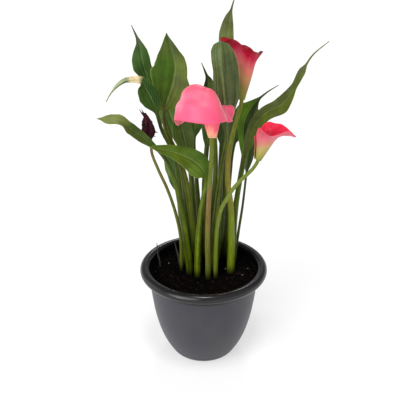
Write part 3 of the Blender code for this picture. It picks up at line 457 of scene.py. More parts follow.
def leafRings(shape, seed):
    # Rings from the stalk's foot to the blade's tip. A ring runs over the upper face from the
    # left margin to the right and back under it. In the stalk it is round, and over the
    # blade's first eighth it turns into the thin sheet.
    setting = bladeSetting
    points, lengths, stops = stemLine(shape["root"], shape["line"])
    bladeStart, end = stops[shape["start"]], lengths[-1]
    stalkPlaces = np.linspace(0, bladeStart, setting["stalkRings"], endpoint=False)
    bladePlaces = bladeStart + np.linspace(0, 1, setting["rings"]) ** 0.9 * (end - bladeStart)
    places = np.concatenate([stalkPlaces, bladePlaces])
    centre, ahead = carried(points, lengths, places)
    s = np.clip((places - bladeStart) / (end - bladeStart), 0, 1)
    looks = np.array(shape["face"], float)
    stages = np.linspace(0, 1, len(looks))
    face = np.stack([np.interp(s, stages, looks[:, i]) for i in range(3)], axis=1)
    normal = unit(face - np.sum(face * ahead, axis=1, keepdims=True) * ahead)
    side = np.cross(ahead, normal)

    # Half widths: straight between the places of the outline, then smoothed by a short bell.
    # The stalk's own width fades out towards the tip.
    plain = [(place, *[wide * shape.get("width", 0) / 2] * 2) for place, wide in plainOutline]
    at, *wide = np.array([(0, 0, 0), *shape.get("halves", plain), (1, 0, 0)], float).T
    window = np.hanning(2 * int(setting["smoothing"] * setting["rings"] / 2) + 3)
    footRadius, topRadius = shape["stalk"]
    stalkRadius = footRadius + (topRadius - footRadius) * smoothStep(places / bladeStart)
    rim = np.interp(s, (0, setting["stalkShare"], 1), (topRadius, 1.2, 0.5))
    rim = np.where(s > 0, rim, stalkRadius)
    halves = []
    for values in wide:
        line = np.pad(np.interp(s, at, values), len(window) // 2, mode="edge")
        line = np.convolve(line, window / window.sum(), mode="valid")
        halves.append(np.sqrt(line**2 + rim**2))
    reach = np.linspace(-1, 1, setting["columns"])
    halfWidth = np.where(reach < 0, halves[0][:, None], halves[1][:, None])
    outline = np.clip(np.mean(halves, axis=0) - rim, 0, None)
    outline = outline / outline.max()

    # Middle of the sheet: each half turns from its angle at the rib to that at the margin,
    # and the margins wave
    steps = (setting["columns"] - 1) // 2
    fold = np.radians(np.interp((np.arange(steps) + 0.5) / steps, (0, 1), shape["fold"]))
    across = np.concatenate([[0], np.cumsum(np.cos(fold)) / steps])
    up = np.concatenate([[0], np.cumsum(np.sin(fold)) / steps])
    across, up = np.concatenate([-across[:0:-1], across]), np.concatenate([up[:0:-1], up])
    crest, number, phase = shape["waves"]
    swing = np.sin(2 * math.pi * number * s[:, None] + phase + setting["waveLead"] * (reach > 0))
    wave = crest * outline[:, None] * reach**2 * swing
    flat = centre[:, None] + side[:, None] * (halfWidth * across)[..., None]
    ruffle = setting["ruffle"] * reach**4 * cloud(flat, setting["ruffleSize"], seed, 2)
    swell = setting["swell"] * (1 - reach**2) * cloud(flat, setting["swellSize"], seed + 3, 2)
    lift = halfWidth * up + wave + (ruffle + swell) * outline[:, None]
    sheet = flat + normal[:, None] * lift[..., None]

    # Walls: thin margins, a groove over the rib with the rib below it, and side veins that
    # leave the rib on a slant and bend forward
    bend = np.cross(np.gradient(sheet, axis=0), np.gradient(sheet, axis=1))
    bend *= np.sign(np.sum(bend * normal[:, None], axis=(1, 2)))[:, None, None]
    outward = unit(bend)
    off = np.abs(reach) * halfWidth
    wall = setting["edgeThickness"] + (setting["thickness"] - setting["edgeThickness"]) * (
        1 - np.abs(reach) ** 3)
    slanted = setting["veinSlant"] * off * (1 + 0.5 * np.abs(reach))
    vein = (places[:, None] - slanted) / setting["veinStep"]
    line = (0.5 + 0.5 * np.cos(2 * math.pi * vein)) ** 4
    relief = setting["veinDepth"] * line * outline[:, None] * (1 - reach**8)
    fade = np.sqrt(np.clip(1 - s, 0, 1))[:, None]
    groove = setting["grooveDepth"] * bell(off, setting["ribWidth"] * 0.8) * fade
    rib = setting["ribDepth"] * bell(off, setting["ribWidth"]) * fade**2
    upper = sheet + outward * (wall / 2 - relief - groove)[..., None]
    lower = sheet - outward * (wall / 2 + relief + rib)[..., None]
    flatRing = np.concatenate([upper, lower[:, ::-1]], axis=1)

    # The round stalk with its fine ridges, and its straight foot
    count = 2 * setting["columns"]
    angles = math.pi - math.pi / count - 2 * math.pi * np.arange(count) / count
    ridge = 1 + stemSetting["ridges"] * np.cos(stemSetting["stalkRidges"] * angles)
    roundRing = centre[:, None] + (stalkRadius[:, None] * ridge)[..., None] * around(
        side, normal, angles)
    share = smoothStep(s / setting["flatShare"])[:, None, None]
    rings = roundRing * (1 - share) + flatRing * share
    foot = rings[:1] - (0, 0, stemSetting["straightTop"] - stemSetting["foot"])

    # Marks: along is 0 at the soil, 0.5 at the blade's start and 1 at the tip
    along = np.where(places < bladeStart, 0.5 * places / bladeStart, 0.5 + 0.5 * s)
    both = np.concatenate([reach, reach[::-1]])
    marks = np.stack(np.broadcast_arrays(along[:, None], both, np.arange(count) >= count // 2,
                                         np.concatenate([vein, vein[:, ::-1]], axis=1)), axis=-1)
    rings = np.concatenate([rings, marks], axis=-1)
    foot = np.concatenate([foot, marks[:1]], axis=-1)
    return np.concatenate([foot, rings])


# The leaf's skin: the size of its patches and of its grain in millimetres, the share of the
# leaf's length where its tip begins, how deep its streaks are, and for each line its colour,
# its strength and the two values of its mark between which it comes in
leafSkin = dict(
    patch=16, grain=1.5, tipFrom=0.84, tipFade=0.05, streak=0.22, dry="D8C69C",
    vein=("8A9A5C", 0.22, 0.8, 1.0), rib=("90A060", 0.3, 0.10, 0.03),
    edge=("98A058", 0.35, 0.94, 1.0), under=("7E8C5E", 0.2, 0.0, 1.0))


def leafPaint(name, shape):
    # Living calla leaf: a smooth waxy skin over soft green tissue, so it has a broad soft
    # shine, pale rib and margins, faint slanting veins and a duller underside.
    skin = leafSkin
    left, right, tip, stalkFoot, stalkTop = shape["colours"]
    paint, tree, shader = newPaint(name)
    along, across, under, vein = [addNode(tree, "Attribute", {}, "Fac", attribute_name=mark)
                                  for mark in ("along", "across", "under", "vein")]
    place = addNode(tree, "TexCoord", {}, "Object")
    # The left and right halves take their own colours, with painted light and shade in them
    onRight = addNode(tree, "MapRange", [across, -0.04, 0.04])
    tipFrom = shape.get("tipFrom", skin["tipFrom"])
    toTip = addNode(tree, "MapRange", [along, tipFrom, tipFrom + skin["tipFade"]])
    blade = layered(tree, left, [(onRight, right), (toTip, tip)])
    if "membrane" in shape:
        toMembrane = addNode(tree, "Math", [toTip, onRight], operation="MULTIPLY")
        blade = layered(tree, blade, [(toMembrane, shape["membrane"])])
    if "dryBand" in shape:
        middle, width = shape["dryBand"]
        away = addNode(tree, "MapRange", [along, middle - width, middle + width, -1, 1])
        away = addNode(tree, "Math", [away], operation="ABSOLUTE")
        nearBand = addNode(tree, "MapRange", [away, 1.0, 0.5])
        blade = layered(tree, blade, [(nearBand, skin["dry"])])
    stalkUp = addNode(tree, "MapRange", [along, 0.1, 0.45])
    stalk = layered(tree, stalkFoot, [(stalkUp, stalkTop)])
    onBlade = addNode(tree, "MapRange", [along, 0.49, 0.58])
    colour = layered(tree, stalk, [(onBlade, blade)])

    # On the blade: a vein wherever the vein mark passes a whole number, the rib, the margin,
    # and the paler underside
    wave = addNode(tree, "Math", [vein, 2 * math.pi], operation="MULTIPLY")
    crest = addNode(tree, "Math", [wave], operation="COSINE")
    off = addNode(tree, "Math", [across], operation="ABSOLUTE")
    for line, mark in (("vein", crest), ("rib", off), ("edge", off), ("under", under)):
        lineInk, strength, start, full = skin[line]
        share = addNode(tree, "MapRange", [mark, start, full, 0, strength])
        share = addNode(tree, "Math", [share, onBlade], operation="MULTIPLY")
        colour = layered(tree, colour, [(share, lineInk)])

    # Long streaks run beside the rib and round the stalk. A stalk also has broad dark and
    # bright bands running up it: painted shade and painted highlights.
    lengthwise = addNode(tree, "CombineXYZ", [across, along, under])
    stretched = addNode(tree, "Mapping", {"Vector": lengthwise, "Scale": (7.0, 2.5, 3.0)})
    streaks = addNode(tree, "TexNoise", {"Vector": stretched, "Scale": 1.0, "Detail": 3.0})
    depth = shape.get("streak", skin["streak"])
    streak = addNode(tree, "MapRange", [streaks, 0.32, 0.68, 1 - depth, 1 + depth])
    banded = addNode(tree, "Mapping", {"Vector": lengthwise, "Scale": (2.4, 3.0, 4.0),
                                       "Location": (*shape["root"], 0.0)})
    lightBands = addNode(tree, "TexNoise", {"Vector": banded, "Scale": 1.0, "Detail": 2.0})
    lightBand = addNode(tree, "MapRange", [lightBands, 0.36, 0.64, 0.45, 1.4])
    stalkLightBand = layered(tree, lightBand, [(onBlade, "FFFFFF")])

    # Uneven growth: broad patches and a fine grain make it lighter and darker
    patches = addNode(tree, "TexNoise", {"Vector": place, "Scale": 1 / (skin["patch"] * mm),
                                         "Detail": 3.0})
    grain = addNode(tree, "TexNoise", {"Vector": place, "Scale": 1 / (skin["grain"] * mm),
                                       "Detail": 2.0})
    shade = addNode(tree, "MapRange", [patches, 0.3, 0.7, 0.72, 1.28])
    fine = addNode(tree, "MapRange", [grain, 0.3, 0.7, 0.93, 1.07])
    # The stalk's bands of painted shade and painted highlight are laid on here too
    colour = layered(tree, colour, [(1.0, shade), (1.0, fine), (1.0, streak), (1.0, stalkLightBand)],
                     blend_type="MULTIPLY")
    fill(tree, shader, {
        "Base Color": footShaded(tree, place, colour),
        "Roughness": addNode(tree, "MapRange", [patches, 0, 1, 0.36, 0.52]),
        "Normal": addNode(tree, "Bump", {"Height": grain, "Strength": 0.25, "Distance": 0.0003}),
        "Specular IOR Level": 0.16, "Subsurface Weight": 0.08,
        "Subsurface Radius": (0.001, 0.002, 0.0005)})
    return paint


for number, (node, shape) in enumerate(leaves.items()):
    piece = tubePiece(pieceName(node), leafRings(shape, number), "along", "across", "under", "vein")
    settle(piece, leafPaint("calla leaf " + node[5:].replace("_", " "), shape), "leaf", node)
print("leaves:", len(leaves))


# Scapes: the plain round stems of the blooms

def tubeRings(root, knots, radii, seed, lastWay=None, rings=110, wobble=0.03):
    # Rings round a stem's line. The radius falls from foot to top by a power curve, with fine
    # ridges along the stem and a slow swelling.
    points, lengths, stops = stemLine(root, knots, lastWay)
    places = np.linspace(0, lengths[-1], rings)
    centre, ahead = carried(points, lengths, places)
    if lastWay is not None:
        ahead[-1] = unit(lastWay)
    side = unit(np.cross(ahead, (0, 1, 0)))
    front = np.cross(side, ahead)
    share = places / lengths[-1]
    radius = radii[0] + (radii[1] - radii[0]) * share**0.8
    angles = evenAngles(stemSetting["sides"])
    ridge = stemSetting["ridges"] * np.cos(stemSetting["scapeRidges"] * angles + 0.5)
    swelling = wobble * cloud(centre, 25.0, seed, 2) * np.sin(math.pi * share)
    size = radius[:, None] * (1 + ridge + swelling[:, None])
    stem = centre[:, None] + around(side, front, angles) * size[..., None]
    foot = stem[:1] - (0, 0, stemSetting["straightTop"] - stemSetting["foot"])
    stem = np.concatenate([foot, stem])
    along = np.broadcast_to(np.concatenate([[0], share])[:, None], stem.shape[:2])
    return np.dstack([stem, along])


# The sizes of a stem's streaks and flecks across it in millimetres, and their stretch along it
stemSkin = dict(streak=1.6, fleck=3.0, stretch=0.12, fleckInk="7A5A34", fleckShare=0.25)


def stemPaint(name, stops):
    # Fleshy stem: smooth and slightly glossy, streaked along its length, with small brownish
    # flecks
    skin = stemSkin
    paint, tree, shader = newPaint(name)
    along = addNode(tree, "Attribute", {}, "Fac", attribute_name="along")
    place = addNode(tree, "TexCoord", {}, "Object")
    stretched = addNode(tree, "Mapping", {"Vector": place, "Scale": (1.0, 1.0, skin["stretch"])})
    streaks = addNode(tree, "TexNoise", {"Vector": stretched, "Scale": 1 / (skin["streak"] * mm),
                                         "Detail": 3.0})
    spots = addNode(tree, "TexNoise", {"Vector": stretched, "Scale": 1 / (skin["fleck"] * mm),
                                       "Detail": 4.0})
    shade = addNode(tree, "MapRange", [streaks, 0.3, 0.7, 0.78, 1.2])
    spotted = addNode(tree, "MapRange", [spots, 0.56, 0.66, 0, skin["fleckShare"]])
    colour = addNode(tree, "ValToRGB", [along], stops=stops)
    colour = layered(tree, colour, [(1.0, shade)], blend_type="MULTIPLY")
    colour = layered(tree, colour, [(spotted, skin["fleckInk"])])
    fill(tree, shader, {
        "Base Color": footShaded(tree, place, colour), "Roughness": 0.42,
        "Normal": addNode(tree, "Bump", {"Height": streaks, "Strength": 0.2, "Distance": 0.0003}),
        "Specular IOR Level": 0.18})
    return paint


# Blooms

# Each bloom: its root, the line of its scape up to the spathe's foot and the scape's radius
# at the soil and at the top. Axis is the way the tube points, and tip the side that its
# pointed end leans to. Eight values of reach and roll, counted round from the tip, are the
# length from foot to margin and the angle off the axis at the margin, with the seam at the
# fifth. Turn is the share of the reach over which the sheet rolls, and late moves its start.
# A crown is extra reach: its angle round from the tip and its spread, in degrees, and its
# length. A brim is a step outwards near the margin. Outside and inside are colours by the
# share of the reach. A painted highlight is a pale patch at a place round and up the sheet,
# and a pale margin starts and is full at two distances from a place round it. Both places
# are counted round from -1 to 1, with the tip at 0.
blooms = {
    "front": dict(
        root=(6, -10), radii=(3.8, 2.6), axis=(-0.04, 0.07, 1.0), tip=(-1.0, 0.03, 0.0),
        line=[(5, -16, 175), (6, -26, 230), (8, -36, 282), (9, -41.8, 310), (8.6, -43, 322.7)],
        widen=14, turn=(0.47, 0.81), reach=(80, 112, 111, 61, 43, 54, 57, 63),
        roll=(178, 167, 157, 148, 126, 100, 122, 157), point=0.11, crown=(67, 23, 7),
        late=(-0.07, -0.02, -0.06, 0.03, 0.07, -0.01, -0.04, -0.05),
        brim=dict(place=0.82, step=4.4, shares=(1, 1, 0.5, 0.2, 0, 0, 0, 0.5)),
        outside=[(0.0, "DCA880"), (0.07, "F0A086"), (0.15, "F25F74"), (0.6, "EE5F7C"),
                 (1.0, "EC6682")],
        inside=[(0.0, "D04058"), (0.3, "E44060"), (0.55, "F05B76"), (0.78, "F26481"),
                (0.93, "F0547A")],
        paintedHighlight=dict(around=0.2, up=0.82, size=0.14, share=0.6, ink="F8A8BC"),
        edge="F2A898", paleMargin=(0.42, 0.3, 0.42), shine=0.35, sheen=0.3, tipInk="C45068",
        stem=[(0.0, "5C6A1C"), (0.3, "6E6A30"), (0.45, "76602F"), (0.62, "7A6636"),
              (0.7, "5C6A20"), (1.0, "666F22")]),
    "upper": dict(
        root=(37, 6), radii=(5.4, 2.4), axis=(0.08, 0.1, 1.0), tip=(0.78, -0.63, 0.0),
        line=[(37, 7, 165), (35, 10, 212), (31, 16, 246), (33, 21, 286), (39, 26, 314),
              (44.5, 28.3, 334), (47.1, 29, 347.7)],
        widen=11, turn=(0.62, 0.96), reach=(61, 63, 61, 72, 86, 78, 82, 67),
        roll=(34, 30, 48, 60, 80, 75, 63, 55), point=0.06,
        outside=[(0.0, "7C8038"), (0.2, "94864A"), (0.42, "C88C62"), (0.6, "DC746C"),
                 (0.72, "D04C5C"), (0.82, "C0143C"), (1.0, "A00A22")],
        inside=[(0.0, "5E1420"), (0.5, "841428"), (0.85, "B01430"), (1.0, "8A0C1C")],
        edge="86060F", shine=0.1, sheen=0.0, tipInk="4A1A2C",
        stem=[(0.0, "6A7C14"), (0.3, "6E7E18"), (0.5, "868030"), (0.64, "877B32"),
              (0.74, "6E7A22"), (1.0, "74782A")]),
    "right": dict(
        root=(16, -7), radii=(3.2, 2.1), axis=(0.27, -0.1, 1.0), tip=(0.99, -0.14, 0.0),
        line=[(16.1, -9, 165), (18.2, -12, 198.5), (22.9, -15, 221), (27.7, -17, 231.6),
              (34.8, -20, 246), (44, -25, 260.7), (52, -29.4, 271), (59, -33.6, 281),
              (64.2, -36, 292.5)],
        widen=13.7, turn=(0.45, 1.0), reach=(56, 50, 49, 28, 28, 45, 52, 61),
        roll=(96, 60, 69, 49, 26, 23, 67, 58), point=0.03,
        outside=[(0.0, "7A8434"), (0.15, "9A9448"), (0.36, "B4A062"), (0.5, "CC8070"),
                 (0.68, "D46876"), (1.0, "DE5068")],
        inside=[(0.0, "8A7A3A"), (0.3, "6E222A"), (0.6, "C81836"), (1.0, "F02748")],
        edge="EE4A64", shine=0.2, sheen=0.05, tipInk="C03050",
        stem=[(0.0, "6A7A20"), (0.5, "6E7E2C"), (1.0, "66762A")]),
}

spatheSetting = dict(thickness=0.9, edgeThickness=0.45, overlap=10, marginStep=1.9, rows=72,
                     columns=96, pointSpread=26, seamStart=110, seamSpread=55, ribs=34,
                     ribHeight=0.10, ribStop=120, ribFade=30, frill=0.8, frillSize=7.0, swell=0.9,
                     swellSize=20.0, scapeInside=5.0, brimSpread=0.08)
spadixSetting = dict(radius=2.6, share=0.42, rings=90, sides=56, florets=0.13, spirals=8)


def blendRound(values, angles):
    # The values lie evenly round the bloom, and blend by the square of a cosine
    spacing = 2 * math.pi / len(values)
    total = 0
    for i, value in enumerate(values):
        away = np.abs((angles - i * spacing + math.pi) % (2 * math.pi) - math.pi) / spacing
        total = total + value * np.cos(np.clip(away, 0, 1) * math.pi / 2) ** 2
    return total


def spatheSheets(bloom, foot, seed):
    # A sheet wound a little more than once round the scape. Each column starts beside the
    # scape, widens as a funnel and rolls away from the axis towards its margin: the sheet's
    # angle off the axis is summed into steps outwards and up.
    setting = spatheSetting
    up, towards, across = turnedAxes(bloom["axis"], bloom["tip"])
    turn = 180 + setting["overlap"]
    angle = np.radians(np.linspace(-turn, turn, setting["columns"]))
    s = np.linspace(0, 1, setting["rows"])[:, None]
    reach = blendRound(bloom["reach"], angle)
    point = np.clip(1 - np.abs(angle) / math.radians(setting["pointSpread"]), 0, 1) ** 2
    reach = reach + bloom["point"] * bloom["reach"][0] * point
    if "crown" in bloom:
        crownAngle, crownSpread, crownRise = bloom["crown"]
        reach = reach + crownRise * bell(np.degrees(angle) - crownAngle, crownSpread)
    roll = np.radians(blendRound(bloom["roll"], angle))
    turnStart, turnEnd = bloom["turn"]
    turnStart = turnStart + blendRound(bloom.get("late", [0] * 8), angle)
    widen = math.radians(bloom["widen"])
    slope = widen + (roll - widen) * smoothStep((s - turnStart) / (turnEnd - turnStart))
    middle = (slope[1:] + slope[:-1]) / 2
    zero, step = np.zeros((1, setting["columns"])), 1 / (setting["rows"] - 1)
    out = np.concatenate([zero, np.cumsum(np.sin(middle) * step, axis=0)]) * reach
    rise = np.concatenate([zero, np.cumsum(np.cos(middle) * step, axis=0)]) * reach
    standOff = setting["marginStep"] * smoothStep(
        (np.degrees(angle) - setting["seamStart"]) / setting["seamSpread"])
    if "brim" in bloom:
        brim = bloom["brim"]
        standOff = standOff - brim["step"] * blendRound(brim["shares"], angle) * smoothStep(
            (s - brim["place"]) / setting["brimSpread"] + 0.5)
    radius = bloom["radii"][1] + 2 * gap + setting["thickness"] / 2
    distance = radius + out + standOff * np.cos(slope)
    height = rise - standOff * np.sin(slope)
    ring = around(towards, across, angle)
    sheet = foot + ring[None] * distance[..., None] + up * height[..., None]

    # The limb swells softly, its margin is lightly frilled, and fine ribs run up it. They die
    # out over the seam, where the two margins lie on each other.
    bend = unit(np.cross(np.gradient(sheet, axis=1), np.gradient(sheet, axis=0)))
    offTip = np.abs(np.degrees(angle))
    awayFromSeam = 1 - smoothStep((offTip - setting["ribStop"]) / setting["ribFade"])
    swell = setting["swell"] * cloud(sheet, setting["swellSize"], seed, 2)
    swell = swell * smoothStep((s - 0.3) / 0.4)
    frill = setting["frill"] * s**10 * cloud(sheet, setting["frillSize"], seed + 5, 1)
    sheet = sheet + bend * ((swell + frill) * awayFromSeam)[..., None]
    bend = unit(np.cross(np.gradient(sheet, axis=1), np.gradient(sheet, axis=0)))
    ribs = setting["ribHeight"] * np.cos(setting["ribs"] * angle) * np.sin(math.pi * s)
    ribs = ribs * awayFromSeam
    wall = setting["thickness"] + (setting["edgeThickness"] - setting["thickness"]) * s**6
    outside = sheet + bend * (wall / 2 + ribs)[..., None]
    inside = sheet - bend * (wall / 2 - ribs)[..., None]
    marks = [np.broadcast_to(s, distance.shape), np.broadcast_to(angle / math.pi, distance.shape)]
    outer = np.dstack([outside, *marks, np.ones(distance.shape)])
    inner = np.dstack([inside, *marks, np.zeros(distance.shape)])
    return np.concatenate([outer.reshape(-1, 6), inner.reshape(-1, 6)])


# The size of a spathe's patches and of its velvet grain in millimetres, and how far its
# streaks move the colour up or down the sheet, as a share of the reach
spatheSkin = dict(patch=12, grain=0.8, shift=0.05)


def spathePaint(name, bloom):
    # Spathe: a fleshy, velvety bract. Colour runs from foot to margin in fine streaks, the
    # margin is a thin line of its own colour, light sinks into the flesh a little, and the
    # velvet turns pale where it is seen edge on.
    skin = spatheSkin
    paint, tree, shader = newPaint(name)
    reach, angle, outer = [addNode(tree, "Attribute", {}, "Fac", attribute_name=mark)
                           for mark in ("reach", "around", "outer")]
    place = addNode(tree, "TexCoord", {}, "Object")
    wrap = addNode(tree, "CombineXYZ", [angle, reach])
    stretched = addNode(tree, "Mapping", {"Vector": wrap, "Scale": (26.0, 1.6, 1.0)})
    streaks = addNode(tree, "TexNoise", {"Vector": stretched, "Scale": 1.0, "Detail": 4.0})
    patches = addNode(tree, "TexNoise", {"Vector": place, "Scale": 1 / (skin["patch"] * mm),
                                         "Detail": 2.0})
    grain = addNode(tree, "TexNoise", {"Vector": place, "Scale": 1 / (skin["grain"] * mm),
                                       "Detail": 2.0})
    shift = addNode(tree, "MapRange", [streaks, 0.3, 0.7, -skin["shift"], skin["shift"]])
    along = addNode(tree, "Math", [reach, shift], operation="ADD")
    outside, inside = [addNode(tree, "ValToRGB", [along], stops=bloom[side])
                       for side in ("outside", "inside")]
    tone = addNode(tree, "Math", [streaks, patches], operation="ADD")
    shade = addNode(tree, "MapRange", [tone, 0.7, 1.3, 0.9, 1.1])
    colour = layered(tree, inside, [(outer, outside)])
    colour = layered(tree, colour, [(1.0, shade)], blend_type="MULTIPLY")
    # A painted highlight: a pale patch laid on the sheet
    if "paintedHighlight" in bloom:
        paintedHighlight = bloom["paintedHighlight"]
        spot = addNode(tree, "CombineXYZ", [angle, along])
        away = addNode(tree, "VectorMath", [spot, (paintedHighlight["around"], paintedHighlight["up"], 0)],
                       operation="DISTANCE")
        share = addNode(tree, "MapRange", [away, paintedHighlight["size"], 0, 0, paintedHighlight["share"]],
                        interpolation_type="SMOOTHSTEP")
        colour = layered(tree, colour, [(share, paintedHighlight["ink"])])
    atEdge = addNode(tree, "MapRange", [reach, 0.97, 0.995, 0, 0.7])
    if "paleMargin" in bloom:
        middle, start, full = bloom["paleMargin"]
        away = addNode(tree, "Math", [angle, middle], operation="SUBTRACT")
        away = addNode(tree, "Math", [away], operation="ABSOLUTE")
        away = addNode(tree, "MapRange", [away, start, full])
        atEdge = addNode(tree, "Math", [atEdge, away], operation="MULTIPLY")
    off = addNode(tree, "Math", [angle], operation="ABSOLUTE")
    nearTip = addNode(tree, "MapRange", [off, 0.06, 0.02])
    atEnd = addNode(tree, "MapRange", [reach, 0.90, 0.97])
    atTip = addNode(tree, "Math", [nearTip, atEnd], operation="MULTIPLY")
    colour = layered(tree, colour, [(atEdge, bloom["edge"]), (atTip, bloom["tipInk"])])
    fill(tree, shader, {
        "Base Color": colour, "Roughness": 0.38,
        "Normal": addNode(tree, "Bump", {"Height": grain, "Strength": 0.15, "Distance": 0.0002}),
        "Subsurface Weight": 0.15, "Subsurface Radius": (0.003, 0.001, 0.001),
        "Specular IOR Level": bloom["shine"], "Sheen Weight": bloom["sheen"],
        "Sheen Roughness": 0.35, "Sheen Tint": "FFD8C4"})
    return paint


def spadixRings(bloom, foot):
    # A round-ended rod covered with florets, which stand in two sets of spirals that cross
    setting = spadixSetting
    up, towards, across = turnedAxes(bloom["axis"], bloom["tip"])
    length = setting["share"] * bloom["reach"][6]
    s = np.linspace(0, 1, setting["rings"])[:, None]
    angles = evenAngles(setting["sides"])
    radius = setting["radius"] * np.sqrt(1 - s**3) * np.minimum(1, 0.75 + s)
    turns = setting["spirals"] * length / setting["radius"] * s
    winding = setting["spirals"] * angles
    florets = np.abs(np.cos((winding + turns) / 2) * np.cos((winding - turns) / 2))
    size = np.maximum(radius * (1 - setting["florets"] + setting["florets"] * florets), 0.15)
    ring = around(towards, across, angles)
    rings = foot + (up * gap + up * (s * length))[:, None] + ring[None] * size[..., None]
    return np.dstack([rings, florets])


def spadixPaint():
    # Spadix: packed florets, egg yellow on top and browner in the clefts
    paint, tree, shader = newPaint("spadix florets")
    floret = addNode(tree, "Attribute", {}, "Fac", attribute_name="along")
    colour = addNode(tree, "ValToRGB", [floret],
                     stops=[(0.0, "9A6A1C"), (0.5, "D8A234"), (1.0, "F0CE62")])
    fill(tree, shader, {"Base Color": colour, "Roughness": 0.75})
    return paint


spadixYellow = spadixPaint()
for number, (name, bloom) in enumerate(blooms.items()):
    foot = np.array(bloom["line"][-1], float)
    top = foot + spatheSetting["scapeInside"] * unit(bloom["axis"])
    rings = tubeRings(bloom["root"], [*bloom["line"], tuple(top)], bloom["radii"], 40 + number,
                      bloom["axis"], wobble=0.015)
    slot = "scape_olive" if name == "upper" else "scape"
    settle(tubePiece("Scape" + name.title(), rings, "along"),
           stemPaint(f"{name} scape flesh", bloom["stem"]), slot, f"scape_{name}")
    sheets = spatheSheets(bloom, foot, 50 + number)
    faces = sheetFaces(spatheSetting["rows"], spatheSetting["columns"])
    piece = surface("Spathe" + name.title(), sheets[:, :3], faces,
                    dict(zip(("reach", "around", "outer"), sheets[:, 3:].T)))
    slot = {"front": "spathe_pink", "upper": "spathe_crimson", "right": "spathe_rose"}[name]
    settle(piece, spathePaint(f"{name} spathe flesh", bloom), slot, f"spathe_{name}")
    settle(tubePiece("Spadix" + name.title(), spadixRings(bloom, top), "along"), spadixYellow,
           "spadix", f"spadix_{name}")
print("blooms:", len(blooms))


# Wilted bloom

wilted = dict(
    root=(-30, 12), radii=(2.6, 1.7),
    line=[(-31, 8, 171), (-37, 3, 206), (-46, -3, 240), (-57, -11, 272), (-63.2, -17, 295),
          (-63.5, -20, 312)],
    top=(-68.5, -26, 346.5), bodyRadius=6.5, folds=5, pleat=0.3, twist=1.3, crumple=0.22,
    crumpleSize=4.0, rings=90, sides=96, spikeRings=30, spikeSides=20,
    spikes=[((-65.5, -24, 337), (-76, -29, 354), 2.6), ((-67, -25, 341), (-73, -28, 354), 2.2),
            ((-62.5, -23, 329), (-53.5, -26, 322), 2.4),
            ((-62, -22, 322), (-56.5, -26, 317.5), 2.0), ((-64.5, -24, 323), (-71, -28, 315), 2.2)],
    spikeSag=6.0, voxel=0.45,
    stem=[(0.0, "5A641E"), (0.5, "5C6426"), (0.85, "6A6A30"), (1.0, "6E5A38")])


def wiltedHead(shape):
    # A pleated, twisted cone: the radius swells from the foot and falls to the top, times the
    # pleats, which turn with height. Bowed spikes grow out of it, and a remesh fuses them.
    foot = np.array(shape["line"][-1], float)
    axis = np.array(shape["top"], float) - foot
    up, towards, across = turnedAxes(axis, (0.3, -1, 0))
    s = np.linspace(0, 1, shape["rings"])[:, None]
    angles = evenAngles(shape["sides"])
    fold = shape["folds"] * angles + 0.6 * np.sin(4 * s)
    pleat = 1 + shape["pleat"] * (np.cos(fold) - 0.25 * np.cos(2 * fold))
    swell = 0.18 + np.sin(math.pi * np.clip(s * 1.05, 0, 1)) ** 0.8 * (1 - 0.45 * s)
    ring = around(towards, across, angles + shape["twist"] * s)
    radius = shape["bodyRadius"] * swell * pleat
    centre = foot + up * gap + axis * (s * (1 - gap / np.linalg.norm(axis)))
    rings = centre[:, None] + ring * radius[..., None]
    crumple = 1 + shape["crumple"] * cloud(rings, shape["crumpleSize"], 60, 3)
    rings = centre[:, None] + ring * (radius * crumple)[..., None]
    parts, faces = [capped(rings)], tubeFaces(len(rings), rings.shape[1])
    for begin, end, width in shape["spikes"]:
        begin, end = np.array(begin, float), np.array(end, float)
        up, towards, across = turnedAxes(end - begin, (0.2, -1, 0.1))
        t = np.linspace(0, 1, shape["spikeRings"])[:, None]
        turn = evenAngles(shape["spikeSides"])
        sag = np.array([0, 0, -shape["spikeSag"]]) * (t * (1 - t))
        size = width * (1 - 0.9 * t**1.3) * (1 + 0.2 * np.cos(3 * turn + 4 * t))
        loop = around(towards, 0.55 * across, turn)
        spike = (begin + (end - begin) * t + sag)[:, None] + loop * size[..., None]
        start = sum(len(p) for p in parts)
        parts.append(capped(spike))
        faces = [np.concatenate([f, g + start])
                 for f, g in zip(faces, tubeFaces(*spike.shape[:2]))]
    piece = surface("SpatheWilted", np.concatenate(parts), faces)
    remesh = piece.modifiers.new("Fuse", "REMESH")
    remesh.mode, remesh.voxel_size = "VOXEL", shape["voxel"] * mm
    remesh.use_smooth_shade = True
    return finishedMesh(piece)


# Dead plant tissue: dull, fibrous and streaked, with no shine left. Damp peat: matt, cloddy
# and nearly black, with rusty brown crumbs.
drySkin = dict(stretch=0.2, detail=5.0, coarse=0.5, places=(0.3, 0.72), bump=0.6, depth=0.6,
               roughness=0.8, shine=0.2)
peatSkin = dict(stretch=1.0, detail=6.0, coarse=0.65, places=(0.35, 0.55, 0.72), bump=0.8,
                depth=1.2, roughness=0.93, shine=0.06)


def grainPaint(name, skin, size, *colours):
    # One noise of a size in millimetres, stretched upwards, colours the surface from dark to
    # light and roughens it
    paint, tree, shader = newPaint(name)
    place = addNode(tree, "TexCoord", {}, "Object")
    stretched = addNode(tree, "Mapping", {"Vector": place, "Scale": (1.0, 1.0, skin["stretch"])})
    grain = addNode(tree, "TexNoise", {"Vector": stretched, "Scale": 1 / (size * mm),
                                       "Detail": skin["detail"], "Roughness": skin["coarse"]})
    fill(tree, shader, {
        "Base Color": addNode(tree, "ValToRGB", [grain], stops=[*zip(skin["places"], colours)]),
        "Normal": addNode(tree, "Bump", {"Height": grain, "Strength": skin["bump"],
                                         "Distance": skin["depth"] * mm}),
        "Roughness": skin["roughness"], "Specular IOR Level": skin["shine"]})
    return paint


